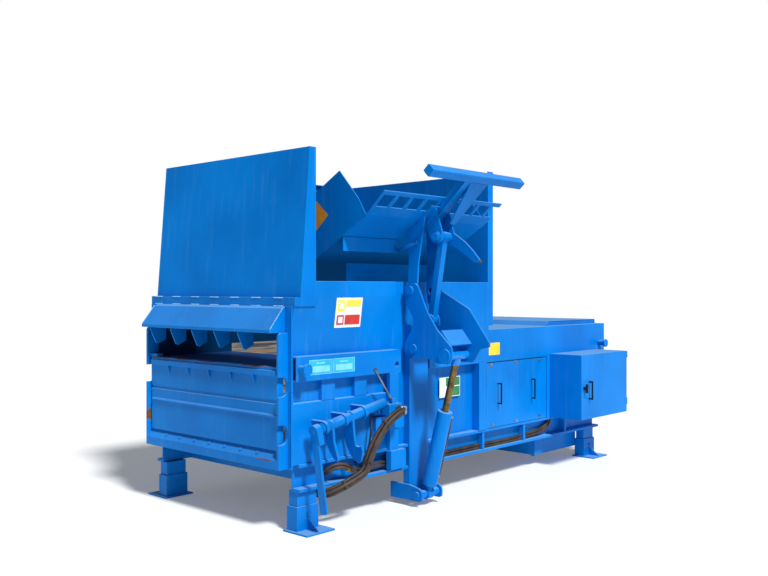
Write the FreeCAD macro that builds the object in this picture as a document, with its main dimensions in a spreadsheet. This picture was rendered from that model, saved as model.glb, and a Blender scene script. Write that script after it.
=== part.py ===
import FreeCAD, Part
import os
import re
import Sketcher

# A horizontal baler for waste paper and card, with a lifter for wheeled bins on its near side.
# X runs from the bale door at the front (0) to the rear plate, Y from the lifter side (minus)
# to the plain side, Z up from the floor. Lengths are millimetres and angles degrees.
sizes = {
    # body
    "body_long": 4000, "body_half": 820, "wall_half": 800, "recess_half": 765, "chamber_half": 735,
    "sheet": 10, "floor_thick": 15, "chamber_long": 2100, "deck_high": 1260, "band_low": 992,
    # base frame and feet
    "base_low": 270, "base_high": 450, "rail_thick": 12, "rail_flange": 20, "rail_reach": 812,
    "rail_front": 45, "rail_rear": 3900, "beam_wide": 80, "beam_first": 300, "beam_pitch": 650,
    "beam_count": 6, "stiffener": 25, "foot_x": 140, "foot_rear_x": 3767, "foot_y": 740,
    "foot_long": 250, "foot_wide": 232, "foot_thick": 12, "foot_out": 66, "sleeve_long": 190,
    "sleeve_wide": 100, "sleeve_high": 170, "sleeve_wall": 9, "sleeve_gap": 0.5, "leg_low": 24,
    "foot_pin": 11, "foot_pin_up": 110,
    # discharge end
    "frame_reach": 87, "frame_low": 425, "frame_high": 1310, "frame_half": 760, "frame_thick": 20,
    "cover_thick": 12, "notch_deep": 75, "notch_high": 128, "notch_round": 45, "notch_upper": 895,
    "notch_lower": 585, "front_high": 1480, "sill_step": 483, "sill_top": 540, "sill_edge": 42,
    "bolt_pitch": 175, "bolt_count": 7, "bolt_head": 11, "bolt_high": 8,
    # bale door
    "door_low": 545, "door_high": 1085, "door_half": 722, "door_thick": 50, "door_x": 40,
    "door_pivot": 680, "door_pin": 18, "door_lug": 20, "ledge_low": 1030, "ledge_high": 1063,
    "ledge_deep": 20, "ledge_half": 700, "gusset_pitch": 245, "gusset_thick": 10, "ridge_up": 770,
    "ridge_high": 12, "groove_low": 846, "groove_high": 875, "groove_deep": 8, "running_gap": 0.08,
    # hood over the discharge slot
    "hood_reach": 143, "hood_bend": 33, "hood_drop": 13, "lip_up": 1330, "lip_deep": 20,
    "hood_sheet": 8,
    # hopper
    "hopper_low": 1538, "hopper_top": 2530, "hopper_foot": 50, "hopper_head": 130,
    "hopper_edge": 185, "hopper_sheet": 8, "sill_up": 1646, "rear_flange": 69,
    "rear_flange_low": 1295, "wall_bend": 1545, "wall_crease": 1155,
    "wall_ledge": 850, "near_front_end": 980, "near_rear_start": 1490,
    # label beam and lifting points
    "beam_low": 990, "beam_out": 835, "beam_end": 935, "lug_end": 1010, "lug_hole": 20,
    "bollard_rod": 25, "bollard_disc": 37, "bollard_reach": 65, "bollard_front_x": 30,
    "bollard_rear_x": 3896, "bollard_up": 1075, "disc_thick": 15,
    # rear body
    "band_start": 1355, "post_start": 1982, "post_end": 2079, "panel_start": 2087,
    "panel_end": 2973, "panel_low": 455, "panel_high": 985, "panel_thick": 8, "panel_inset": 4,
    "recess_back": 742, "handle_low": 642, "handle_high": 817, "handle_first": 2237,
    "handle_second": 2736, "handle_reach": 40, "handle_rod": 6, "hatch_start": 3090,
    "hatch_end": 3960, "hatch_high": 40, "hatch_half": 740, "hatch_sheet": 6,
    # ram
    "platen_x": 2000, "platen_thick": 100, "platen_half": 725, "platen_low": 470,
    "platen_high": 1235, "apron_long": 1000, "apron_thick": 10, "apron_half": 700,
    "ram_up": 880, "ram_rod": 55, "ram_start": 2560, "ram_end": 3860, "ram_outer": 100,
    "ram_bore": 80, "gland_long": 45, "bulkhead_thick": 25, "piston_thick": 60,
    # power pack and drip tray
    "motor_x": 3350, "motor_y": 470, "motor_radius": 110, "motor_long": 330, "motor_up": 640,
    "pump_radius": 60, "pump_long": 150, "tank_start": 2950, "tank_end": 3250, "tank_in": 300,
    "tank_out": 690, "tank_high": 820, "tray_start": 2990, "tray_end": 3690, "tray_out": 685,
    "tray_in": 250, "tray_low": 100, "tray_sheet": 6, "plug_radius": 18,
    # switch cabinet
    "cabinet_start": 3028, "cabinet_end": 3846, "cabinet_out": 1140, "cabinet_low": 450,
    "cabinet_high": 1015, "cabinet_sheet": 5, "cabinet_door": 15, "door_gap": 0.3,
    "cabinet_hinge": 9, "hinge_low": 517, "hinge_high": 951, "hinge_long": 60,
    "hinge_pin": 4, "grip_x": 3154, "grip_low": 622, "grip_high": 784, "latch_x": 3075,
    "latch_up": 725, "latch_radius": 16, "latch_reach": 28,
    # bin lifter, seen from the front: "out" is the distance from the centreline
    "mast_start": 1120, "mast_end": 1330, "mast_out": 825, "mast_low": 44, "mast_top": 1330,
    "mast_web": 10, "mast_gap": 0.5, "mast_lug": 15, "clevis_out": 908, "clevis_up": 88,
    "clevis_pin": 20, "crank_out": 896, "crank_up": 1158, "crank_pin": 25, "crank_plate": 15,
    "crank_reach": 1386, "crank_front": 1083, "crank_rear": 1338, "arm_out": 861, "arm_up": 1580, "arm_pin": 22,
    "rod_out": 1186, "rod_up": 1117, "rod_tube": 29, "rod_eye": 42, "link_out": 954,
    "link_up": 1365, "link_pin": 20, "link_front": 1200, "link_rear": 1250, "link_wide": 50,
    "hub_out": 1058, "hub_up": 1970, "hub_radius": 35, "hub_front": 1140, "hub_rear": 1310,
    "hub_pin": 20, "boss": 45, "barrel_radius": 55, "barrel_bore": 42, "barrel_long": 640,
    "barrel_foot": 70, "rod_radius": 25, "piston_long": 40, "barrel_front": 1195,
    "barrel_rear": 1255,
    # tipping frame
    "frame_start": 550, "frame_end": 1900, "fold_out": 930, "fold_up": 2105, "comb_out": 1099,
    "comb_up": 2259, "chute_out": 697, "chute_up": 1967, "tail_out": 405, "tail_up": 1795,
    "frame_sheet": 8, "cheek_out": 676, "cheek_up": 2421, "cheek_tail_up": 2266,
    "slot_long": 120, "slot_wide": 110, "slot_pitch": 155, "slot_first": 575,
    "slot_second": 1345, "slot_count": 4, "comb_edge": 35, "stem_start": 1195, "stem_end": 1280,
    "stem_deep": 50, "stem_out": 1282, "stem_up": 2359, "tee_start": 776, "tee_end": 1859,
    "tee_wide": 65, "tee_wall": 6, "arm_thick": 15, "arm_front": 1103, "arm_rear": 1317,
    "rail_out": 712, "rail_low": 1860, "rail_high": 1955, "rail_end": 1119,
    # lock shaft along the near side
    "shaft_x": 109, "shaft_out": 900, "shaft_up": 674, "shaft_rise": 10.5, "shaft_long": 660,
    "shaft_radius": 20, "tube_radius": 37, "tube_start": 470, "lever_long": 530,
    "lever_wide": 60, "lever_thick": 14, "lever_lean": 10, "claw_thick": 20, "claw_station": 318,
    "small_claw_station": 130, "bearing_station": 240, "bearing_thick": 24, "bearing_radius": 45,
    "shaft_gap": 0.08,
    # control valve
    "valve_x": 842, "valve_out": 900, "valve_up": 745, "valve_long": 130, "valve_deep": 70,
    "valve_high": 80, "spindle": 9, "valve_lever": 260, "valve_rod": 7, "valve_lean": 37,
}

middle_x = "(body_long - hood_reach) / 2"  # the frame's origin lies under the middle of the baler
middle_y = "(foot_y - foot_out + foot_wide - crank_reach) / 2"

document = FreeCAD.newDocument("Baler")
sheet = document.addObject("Spreadsheet::Sheet", "Sizes")
for row, (alias, number) in enumerate(sizes.items(), start=1):
    sheet.set(f"A{row}", alias)
    sheet.set(f"B{row}", str(number))
    sheet.setAlias(f"B{row}", alias)
document.recompute()

word = re.compile(r"(?<![\w.])([a-z]\w*)(?![\w(])")
nodes = {}


def formula(text):
    return word.sub(r"Sizes.\1", text)


def place(item, x, y, z, axis=None, angle="0"):
    """Sets an item's corner in the baler's frame, and turns it about an axis through there."""
    if axis:
        turn = FreeCAD.Rotation(FreeCAD.Vector(*axis), 1)
        item.Placement = FreeCAD.Placement(FreeCAD.Vector(), turn)
        item.setExpression("Placement.Rotation.Angle", f"({formula(angle)}) * 1deg")
    item.setExpression("Placement.Base.x", formula(f"({x}) - ({middle_x})"))
    item.setExpression("Placement.Base.y", formula(f"({y}) - ({middle_y})"))
    item.setExpression("Placement.Base.z", formula(z))
    return item


def block(label, x, y, z):
    """A box between the low and high ends given on each axis."""
    box = document.addObject("Part::Box", label)
    for side, (low, high) in zip(("Length", "Width", "Height"), (x, y, z)):
        box.setExpression(side, formula(f"({high}) - ({low})"))
    return place(box, x[0], y[0], z[0])


def rod(label, start, radius, length, axis=(0, 0, 1), angle="0"):
    """A round bar from its start along Z, or along Z turned by an angle about an axis."""
    bar = document.addObject("Part::Cylinder", label)
    bar.setExpression("Radius", formula(radius))
    bar.setExpression("Height", formula(length))
    return place(bar, *start, axis, angle)


def rod_x(label, start, radius, length):
    return rod(label, start, radius, length, (0, 1, 0), "90")


def rod_y(label, start, radius, length):
    return rod(label, start, radius, length, (1, 0, 0), "-90")


def sketch_on(body, role, points, holes):
    """A closed outline of (across, up) or (across, up, corner radius), with round holes."""
    sketch = body.newObject("Sketcher::SketchObject", body.Name + "_outline")
    origin_plane = next(item for item in body.Origin.OriginFeatures if item.Role == role)
    sketch.AttachmentSupport = [(origin_plane, "")]
    sketch.MapMode = "FlatFace"
    count = len(points)
    rough = [FreeCAD.Vector(10 * number, 7 * number**2, 0) for number in range(count)]
    for side in range(count):
        sketch.addGeometry(Part.LineSegment(rough[side], rough[(side + 1) % count]), False)
    for side in range(count):
        sketch.addConstraint(Sketcher.Constraint("Coincident", side, 2, (side + 1) % count, 1))
    for side, point in enumerate(points):
        for kind, text in (("DistanceX", point[0]), ("DistanceY", point[1])):
            row = sketch.addConstraint(Sketcher.Constraint(kind, -1, 1, side, 1, 1.0))
            sketch.setExpression(f"Constraints[{row}]", formula(text))
    sketch.recompute()
    for side, point in enumerate(points):
        if len(point) == 3:
            sketch.fillet(side, 1, 1.0, True, True)
            arc = max(
                number
                for number, curve in enumerate(sketch.Geometry)
                if curve.TypeId == "Part::GeomArcOfCircle"
            )
            row = sketch.addConstraint(Sketcher.Constraint("Radius", arc, 1.0))
            sketch.setExpression(f"Constraints[{row}]", formula(point[2]))
    for across, up, radius in holes:
        circle = Part.Circle(FreeCAD.Vector(1, 1, 0), FreeCAD.Vector(0, 0, 1), 1)
        number = sketch.addGeometry(circle, False)
        for kind, text in (("DistanceX", across), ("DistanceY", up)):
            row = sketch.addConstraint(Sketcher.Constraint(kind, -1, 1, number, 3, 1.0))
            sketch.setExpression(f"Constraints[{row}]", formula(text))
        row = sketch.addConstraint(Sketcher.Constraint("Radius", number, 1.0))
        sketch.setExpression(f"Constraints[{row}]", formula(radius))
    return sketch


def padded(label, role, points, length, holes):
    body = document.addObject("PartDesign::Body", label)
    pad = body.newObject("PartDesign::Pad", label + "_pad")
    pad.Profile = sketch_on(body, role, points, holes)
    pad.setExpression("Length", formula(length))
    pad.Reversed = role == "XZ_Plane"
    return body


def along_x(label, points, x, holes=()):
    """A (y, z) outline drawn out between two x."""
    body = padded(label, "YZ_Plane", points, f"({x[1]}) - ({x[0]})", holes)
    return place(body, x[0], "0", "0")


def along_y(label, points, y, holes=()):
    """An (x, z) outline drawn out between two y."""
    body = padded(label, "XZ_Plane", points, f"({y[1]}) - ({y[0]})", holes)
    return place(body, "0", y[0], "0")


def weld(label, *pieces):
    """Plates welded to one solid."""
    whole = document.addObject("Part::MultiFuse", label)
    whole.Shapes = list(pieces)
    whole.Refine = True
    return whole


def cut(label, base, *tools):
    for number, tool in enumerate(tools, start=1):
        last = number == len(tools)
        result = document.addObject("Part::Cut", label if last else f"{label}_cut_{number}")
        result.Base = base
        result.Tool = tool
        result.Refine = True
        base = result
    return base


def several(label, pieces):
    """Separate solids that share a node."""
    lot = document.addObject("Part::Compound", label)
    lot.Links = list(pieces)
    return lot


def other_side(label, source):
    """The same piece on the plain side of the baler."""
    copy = document.addObject("Part::Mirroring", label)
    copy.Source = source
    copy.Normal = FreeCAD.Vector(0, 1, 0)
    copy.setExpression("Base.y", formula(f"-({middle_y})"))
    return copy


def node(item):
    nodes[item.Label] = item
    return item


# Base frame: two channels with their toes outward, cross beams between them


def rail_outline():
    return [
        ("-chamber_half", "base_low"),
        ("-rail_reach", "base_low"),
        ("-rail_reach", "base_low + rail_flange"),
        ("-chamber_half - rail_thick", "base_low + rail_flange"),
        ("-chamber_half - rail_thick", "base_high - rail_flange"),
        ("-rail_reach", "base_high - rail_flange"),
        ("-rail_reach", "base_high"),
        ("-chamber_half", "base_high"),
    ]


def leg(label, x):
    """The square tube under a rail that the foot's sleeve slides on."""
    inset = "(sleeve_wall + sleeve_gap)"
    outside = block(
        label + "_outside",
        (f"{x} - sleeve_long / 2 + {inset}", f"{x} + sleeve_long / 2 - {inset}"),
        (f"-foot_y - sleeve_wide / 2 + {inset}", f"-foot_y + sleeve_wide / 2 - {inset}"),
        ("leg_low", "base_low"),
    )
    wall = "sleeve_wall"
    inside = block(
        label + "_inside",
        (f"{x} - sleeve_long / 2 + {inset} + {wall}", f"{x} + sleeve_long / 2 - {inset} - {wall}"),
        (
            f"-foot_y - sleeve_wide / 2 + {inset} + {wall}",
            f"-foot_y + sleeve_wide / 2 - {inset} - {wall}",
        ),
        ("leg_low", "base_low"),
    )
    pin = rod_y(
        label + "_pin_hole",
        (x, "-foot_y - sleeve_wide", "foot_pin_up"),
        "foot_pin + running_gap",
        "sleeve_wide * 2",
    )
    return cut(label, outside, inside, pin)


def rail(label, mast_notch):
    beam = along_x(label + "_channel", rail_outline(), ("rail_front", "rail_rear"))
    ribs = [
        block(
            f"{label}_rib_{number}",
            (x, f"{x} + stiffener"),
            ("-rail_reach + 6", "-chamber_half - rail_thick"),
            ("base_low + rail_flange", "base_high - rail_flange"),
        )
        for number, x in enumerate(("2043", "2633", "3300"))
    ]
    legs = [leg(f"{label}_leg_{x}", x) for x in ("foot_x", "foot_rear_x")]
    if not mast_notch:
        return weld(label, beam, *ribs, *legs)
    notch = block(
        label + "_mast_room",
        ("mast_start - mast_gap", "mast_end + mast_gap"),
        ("-rail_reach", "-recess_half"),
        ("base_low", "base_high"),
    )
    return cut(label, weld(label + "_welded", beam, *ribs, *legs), notch)


def foot(label, x):
    """A foot plate with a sleeve and two gussets, pinned to its leg."""
    plate = block(
        label + "_plate",
        (f"{x} + 10 - foot_long / 2", f"{x} + 10 + foot_long / 2"),
        ("-foot_y + foot_out - foot_wide", "-foot_y + foot_out"),
        ("0", "foot_thick"),
    )
    outside = block(
        label + "_sleeve",
        (f"{x} - sleeve_long / 2", f"{x} + sleeve_long / 2"),
        ("-foot_y - sleeve_wide / 2", "-foot_y + sleeve_wide / 2"),
        ("foot_thick", "sleeve_high"),
    )
    inside = block(
        label + "_bore",
        (f"{x} - sleeve_long / 2 + sleeve_wall", f"{x} + sleeve_long / 2 - sleeve_wall"),
        (
            "-foot_y - sleeve_wide / 2 + sleeve_wall",
            "-foot_y + sleeve_wide / 2 - sleeve_wall",
        ),
        ("foot_thick", "sleeve_high"),
    )
    hole = rod_y(
        label + "_pin_hole",
        (x, "-foot_y - sleeve_wide", "foot_pin_up"),
        "foot_pin + running_gap",
        "sleeve_wide * 2",
    )
    gusset = along_x(
        label + "_gusset",
        [
            ("-foot_y - sleeve_wide / 2", "foot_thick"),
            ("-foot_y + foot_out - foot_wide + 6", "foot_thick"),
            ("-foot_y - sleeve_wide / 2", "foot_pin_up - foot_pin - 8"),
        ],
        (f"{x} - gusset_thick / 2", f"{x} + gusset_thick / 2"),
    )
    return weld(label, plate, gusset, cut(label + "_tube", outside, inside, hole))


near_rail = node(rail("base_rail_near", True))
node(other_side("base_rail_far", rail("far_rail_pattern", False)))
node(
    several(
        "base_cross_beams",
        [
            block(
                f"cross_beam_{number}",
                (f"beam_first + {number} * beam_pitch", f"beam_first + {number} * beam_pitch + beam_wide"),
                ("-chamber_half", "chamber_half"),
                ("base_low", "base_high"),
            )
            for number in range(sizes["beam_count"])
        ],
    )
)
front_foot = node(foot("foot_front_near", "foot_x"))
rear_foot = node(foot("foot_rear_near", "foot_rear_x"))
node(other_side("foot_front_far", front_foot))
node(other_side("foot_rear_far", rear_foot))
node(
    several(
        "foot_pins",
        [
            rod_y(
                f"foot_pin_{number}",
                (x, f"{side} - sleeve_wide / 2 - 12", "foot_pin_up"),
                "foot_pin",
                "sleeve_wide + 24",
            )
            for number, (x, side) in enumerate(
                (x, side) for x in ("foot_x", "foot_rear_x") for side in ("foot_y", "-foot_y")
            )
        ],
    )
)

# Bale chamber: floor, side liners and the folded side walls of the front section

node(
    block(
        "chamber_floor",
        ("0", "rail_rear"),
        ("-chamber_half", "chamber_half"),
        ("base_high", "base_high + floor_thick"),
    )
)


def wall_outline(thick):
    """The folded side wall: upright, a ledge, a recess and a face that leans out to the sill."""
    ledge = f"wall_ledge - {thick}"
    return [
        ("-wall_half", "base_high"),
        ("-wall_half", "wall_ledge", "12"),
        ("-recess_half", "wall_ledge"),
        ("-recess_half", "wall_crease"),
        ("-body_half", "wall_bend"),
        ("-body_half", "sill_up", "6"),
        ("-chamber_half - sheet", "sill_up"),
        ("-chamber_half - sheet", f"sill_up - {thick}"),
        (f"-body_half + {thick}", f"sill_up - {thick}"),
        (f"-body_half + {thick}", "wall_bend"),
        (f"-recess_half + {thick}", "wall_crease"),
        (f"-recess_half + {thick}", ledge),
        (f"-wall_half + {thick}", ledge),
        (f"-wall_half + {thick}", "base_high"),
    ]


def wall_ribs(label):
    """Two upright ribs across the recess under the label beam."""
    return [
        block(
            f"{label}_rib_{number}",
            (low, high),
            ("-wall_half", "-recess_half"),
            ("wall_ledge", "beam_low"),
        )
        for number, (low, high) in enumerate((("257", "378"), ("571", "691")))
    ]


def liner(label):
    """The flat wear plate that the bale slides along."""
    return block(
        label,
        ("0", "chamber_long"),
        ("-chamber_half - sheet", "-chamber_half"),
        ("base_high", "sill_up"),
    )


def hopper_room(label):
    """The front corner of a side wall, left out under the hopper's front plate."""
    return block(
        label,
        ("0", "hopper_edge"),
        ("-body_half - 1", "-chamber_half + 1"),
        ("front_high", "sill_up + 1"),
    )


def near_wall():
    """The lifter side: folded at both ends, flat behind the mast to leave room for the crank."""
    front = along_x("near_wall_front", wall_outline("sheet"), ("0", "near_front_end"))
    middle = block(
        "near_wall_middle",
        ("near_front_end", "near_rear_start"),
        ("-recess_half", "-recess_half + sheet"),
        ("base_high", "sill_up"),
    )
    rear = along_x(
        "near_wall_rear",
        [
            ("-body_half", "deck_high"),
            ("-body_half", "sill_up", "6"),
            ("-chamber_half - sheet", "sill_up"),
            ("-chamber_half - sheet", "sill_up - sheet"),
            ("-body_half + sheet", "sill_up - sheet"),
            ("-body_half + sheet", "deck_high"),
        ],
        ("near_rear_start", "chamber_long"),
    )
    closing_front = along_x(
        "near_wall_closing_front",
        [
            ("-recess_half + sheet", "wall_crease"),
            ("-body_half", "wall_bend"),
            ("-body_half", "sill_up"),
            ("-chamber_half - sheet", "sill_up"),
            ("-chamber_half - sheet", "wall_crease"),
        ],
        ("near_front_end - sheet", "near_front_end"),
    )
    closing_rear = block(
        "near_wall_closing_rear",
        ("near_rear_start", "near_rear_start + sheet"),
        ("-body_half", "-chamber_half - sheet"),
        ("deck_high", "sill_up"),
    )
    plates = [front, middle, rear, closing_front, closing_rear, liner("near_liner")]
    whole = weld("near_wall_welded", *plates, *wall_ribs("near_wall"))
    return cut("near_wall", whole, hopper_room("near_hopper_room"))


def far_wall():
    fold = along_x("far_wall_fold", wall_outline("sheet"), ("0", "chamber_long"))
    whole = weld("far_wall_welded", fold, *wall_ribs("far_wall"), liner("far_liner"))
    return cut("far_wall_trimmed", whole, hopper_room("far_hopper_room"))


node(near_wall())
node(other_side("far_wall", far_wall()))

# Discharge end: notched side plates, sloped sill, header and hood


def side_plate(label, notches):
    """An upright at the door's side, open notches in its front edge, and its cover plate."""
    points = [("0", "frame_low"), ("0", "frame_high")]
    points.append(("-frame_reach", "frame_high", "30"))
    for low in notches:
        points += [
            ("-frame_reach", f"{low} + notch_high"),
            ("-frame_reach + notch_deep", f"{low} + notch_high", "notch_round"),
            ("-frame_reach + notch_deep", low, "notch_round"),
            ("-frame_reach", low),
        ]
    points.append(("-frame_reach", "frame_low"))
    plate = along_y(label + "_plate", points, ("-frame_half", "-frame_half + frame_thick"))
    cover = along_x(
        label + "_cover",
        [
            ("-frame_half", "frame_low"),
            ("-wall_half", "frame_low"),
            ("-wall_half", "front_high"),
            ("-chamber_half", "front_high"),
            ("-chamber_half", "frame_high"),
            ("-frame_half", "frame_high"),
        ],
        ("-cover_thick", "0"),
    )
    return weld(label, plate, cover)


def door_lug():
    """The lug on the far upright, with the door's upper pin."""
    plate = block(
        "door_lug_plate",
        ("-door_x - 26", "-door_x + 26"),
        ("-frame_half + frame_thick", "-door_pivot + 30"),
        ("door_high + 2", "door_high + 2 + door_lug"),
    )
    upper_pin = rod("door_upper_pin", ("-door_x", "-door_pivot", "door_high - 60"), "door_pin", "62")
    return weld("door_lug", plate, upper_pin)


def sill():
    """The sloped cross member under the door, with the door's lower pin on its pad."""
    section = along_y(
        "sill_section",
        [
            ("0", "frame_low"),
            ("-frame_reach", "frame_low"),
            ("-frame_reach", "sill_step"),
            ("-sill_edge", "sill_top"),
            ("-sill_edge + sheet", "sill_top"),
            ("0", "base_high + floor_thick"),
        ],
        ("-frame_half + frame_thick", "frame_half - frame_thick"),
    )
    pad = block(
        "door_lower_pad",
        ("-door_x - 2", "-door_x + 22"),
        ("door_pivot - 24", "door_pivot + 24"),
        ("sill_top - 10", "door_low - 0.5"),
    )
    lower_pin = rod("door_lower_pin", ("-door_x", "door_pivot", "sill_top"), "door_pin", "60")
    return weld("front_sill", section, pad, lower_pin)


node(side_plate("front_frame_near", ("notch_upper", "notch_lower")))
far_upright = side_plate("far_frame_pattern", ("notch_upper",))
node(other_side("front_frame_far", weld("far_frame_welded", far_upright, door_lug())))
node(sill())
sill_slope = "90 - atan((sill_top - sill_step) / (frame_reach - sill_edge)) / 1deg"
node(
    several(
        "sill_bolts",
        [
            rod(
                f"sill_bolt_{number}",
                (
                    "-(frame_reach + sill_edge) / 2",
                    f"({number} - (bolt_count - 1) / 2) * bolt_pitch",
                    "(sill_step + sill_top) / 2",
                ),
                "bolt_head",
                "bolt_high",
                (0, 1, 0),
                f"({sill_slope}) - 90",
            )
            for number in range(sizes["bolt_count"])
        ],
    )
)


def hood():
    """The header over the slot, with a folded sheet on gussets, a turned lip and closed ends."""
    header = block(
        "hood_header",
        ("0", "80"),
        ("-chamber_half", "chamber_half"),
        ("frame_high", "front_high"),
    )
    fold = along_y(
        "hood_sheet_fold",
        [
            ("0", "front_high"),
            ("-hood_bend", "front_high - hood_drop"),
            ("-hood_reach", "lip_up"),
            ("-hood_reach", "lip_up - lip_deep"),
            ("-hood_reach + hood_sheet", "lip_up - lip_deep"),
            ("-hood_reach + hood_sheet", "lip_up - 3"),
            ("-hood_bend + 2", "front_high - hood_drop - hood_sheet"),
            ("0", "front_high - hood_sheet"),
        ],
        ("-chamber_half", "chamber_half"),
    )
    end = [
        ("0", "front_high"),
        ("-hood_bend", "front_high - hood_drop"),
        ("-hood_reach", "lip_up"),
        ("-hood_reach", "lip_up - lip_deep"),
        ("-cover_thick", "frame_high"),
        ("0", "frame_high"),
    ]
    cheeks = [
        along_y("hood_cheek_near", end, ("-chamber_half", "-chamber_half + gusset_thick")),
        along_y("hood_cheek_far", end, ("chamber_half - gusset_thick", "chamber_half")),
    ]
    gussets = [
        along_y(
            f"hood_gusset_{number}",
            [
                ("0", "front_high - hood_sheet"),
                ("-hood_bend + 2", "front_high - hood_drop - hood_sheet"),
                ("-hood_reach + hood_sheet", "lip_up - 3"),
                ("-hood_reach + hood_sheet", "lip_up - lip_deep"),
                ("0", "frame_high + 30"),
            ],
            (
                f"{number - 2} * gusset_pitch - gusset_thick / 2",
                f"{number - 2} * gusset_pitch + gusset_thick / 2",
            ),
        )
        for number in range(5)
    ]
    return weld("hood", header, fold, *cheeks, *gussets)


node(hood())

# Bale door, swinging on two pins at the far side


def door():
    front = "-door_x - door_thick / 2"
    back = "-door_x + door_thick / 2"
    slab = along_y(
        "door_slab",
        [
            (back, "door_low"),
            (front, "door_low"),
            (front, "ridge_up - ridge_high"),
            (f"{front} - ridge_high", "ridge_up"),
            (front, "ridge_up + ridge_high"),
            (front, "groove_low"),
            (f"{front} + groove_deep", "groove_low + 4"),
            (f"{front} + groove_deep", "groove_high - 4"),
            (front, "groove_high"),
            (front, "door_high"),
            (back, "door_high"),
        ],
        ("-door_half", "door_half"),
    )
    ledge = block(
        "door_ledge",
        (f"{front} - ledge_deep", front),
        ("-door_half", "ledge_half"),
        ("ledge_low", "ledge_high"),
    )
    gussets = [
        along_y(
            f"door_gusset_{number}",
            [
                (front, "ledge_low"),
                (f"{front} - ledge_deep", "ledge_low"),
                (front, "ledge_low - 70"),
            ],
            (
                f"{number - 2} * gusset_pitch - gusset_thick / 2",
                f"{number - 2} * gusset_pitch + gusset_thick / 2",
            ),
        )
        for number in range(5)
    ]
    trim = block(
        "door_ridge_end",
        (f"{front} - ridge_high", front),
        ("ledge_half", "door_half"),
        ("door_low", "groove_low"),
    )
    bores = [
        rod(f"door_bore_{number}", ("-door_x", "door_pivot", z), "door_pin + running_gap", "80")
        for number, z in enumerate(("door_low", "door_high - 80"))
    ]
    return cut("bale_door", weld("door_welded", slab, ledge, *gussets), trim, *bores)


node(door())

# Hopper


def hopper_front():
    slope = "(hopper_head - hopper_foot) / (hopper_top - hopper_low)"
    sheet_plate = along_y(
        "hopper_front_sheet",
        [
            ("hopper_foot", "hopper_low"),
            ("hopper_head", "hopper_top"),
            ("hopper_head + hopper_sheet", "hopper_top"),
            ("hopper_foot + hopper_sheet", "hopper_low"),
        ],
        ("-body_half + hopper_sheet", "body_half - hopper_sheet"),
    )
    side = [
        ("hopper_foot", "hopper_low"),
        ("hopper_head", "hopper_top"),
        ("hopper_edge", "hopper_top"),
        ("hopper_edge", "hopper_low"),
    ]
    flanges = [
        along_y("hopper_flange_near", side, ("-body_half", "-body_half + hopper_sheet")),
        along_y("hopper_flange_far", side, ("body_half - hopper_sheet", "body_half")),
    ]
    strip = block(
        "hopper_strip",
        ("0", "hopper_edge"),
        ("-body_half", "body_half"),
        ("front_high", "hopper_low"),
    )
    return weld("hopper_front", sheet_plate, *flanges, strip)


node(hopper_front())
rear_sheet = block(
    "hopper_rear_sheet",
    ("chamber_long", "chamber_long + hopper_sheet"),
    ("-body_half", "body_half"),
    ("deck_high", "hopper_top"),
)
rear_flanges = [
    block(
        f"hopper_rear_flange_{number}",
        ("chamber_long", "chamber_long + rear_flange"),
        (low, f"{low} + hopper_sheet"),
        ("rear_flange_low", "hopper_top + 20"),
    )
    for number, low in enumerate(("-body_half", "body_half - hopper_sheet"))
]
node(weld("hopper_rear", rear_sheet, *rear_flanges))
node(
    along_x(
        "hopper_far",
        [
            ("body_half - hopper_sheet", "sill_up"),
            ("body_half", "sill_up"),
            ("body_half", "hopper_top", "4"),
            ("body_half - 40", "hopper_top"),
            ("body_half - 40", "hopper_top - hopper_sheet"),
            ("body_half - hopper_sheet", "hopper_top - hopper_sheet"),
        ],
        ("hopper_edge", "chamber_long"),
    )
)

# Label beam and lifting bollards


def label_beam():
    beam = along_x(
        "label_beam_channel",
        [
            ("-recess_half", "beam_low"),
            ("-beam_out", "beam_low", "6"),
            ("-beam_out", "wall_crease", "6"),
            ("-recess_half", "wall_crease"),
            ("-recess_half", "wall_crease - sheet"),
            ("-beam_out + sheet", "wall_crease - sheet"),
            ("-beam_out + sheet", "beam_low + sheet"),
            ("-recess_half", "beam_low + sheet"),
        ],
        ("0", "beam_end"),
    )
    lug = along_y(
        "label_beam_lug",
        [
            ("beam_end", "beam_low"),
            ("lug_end", "beam_low", "20"),
            ("lug_end", "wall_crease", "20"),
            ("beam_end", "wall_crease"),
        ],
        ("-beam_out", "-recess_half"),
        [("lug_end - 38", "beam_low + 60", "lug_hole")],
    )
    return weld("label_beam", beam, lug)


def bollard(label, x, face):
    stub = rod_y(
        label + "_rod", (x, f"-{face} - bollard_reach", "bollard_up"), "bollard_rod", "bollard_reach"
    )
    disc = rod_y(
        label + "_disc",
        (x, f"-{face} - bollard_reach - disc_thick", "bollard_up"),
        "bollard_disc",
        "disc_thick",
    )
    return weld(label, stub, disc)


node(label_beam())
front_bollard = bollard("bollard_front", "bollard_front_x", "beam_out")
rear_bollard = bollard("bollard_rear", "bollard_rear_x", "body_half")
far_bollard = other_side(
    "bollard_front_far", bollard("bollard_front_pattern", "bollard_front_x", "recess_half")
)
rear_far_bollard = other_side("bollard_rear_far", rear_bollard)
node(several("lifting_bollards", [front_bollard, rear_bollard, far_bollard, rear_far_bollard]))

# Rear body: side bands, posts and plates, access panels, deck and hatch


def band(label, x, flange_end):
    """The folded band under the deck edge."""
    return along_x(
        label,
        [
            (flange_end, "band_low"),
            ("-body_half", "band_low", "6"),
            ("-body_half", "deck_high", "6"),
            (flange_end, "deck_high"),
            (flange_end, "deck_high - sheet"),
            ("-body_half + sheet", "deck_high - sheet"),
            ("-body_half + sheet", "band_low + sheet"),
            (flange_end, "band_low + sheet"),
        ],
        x,
    )


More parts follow.
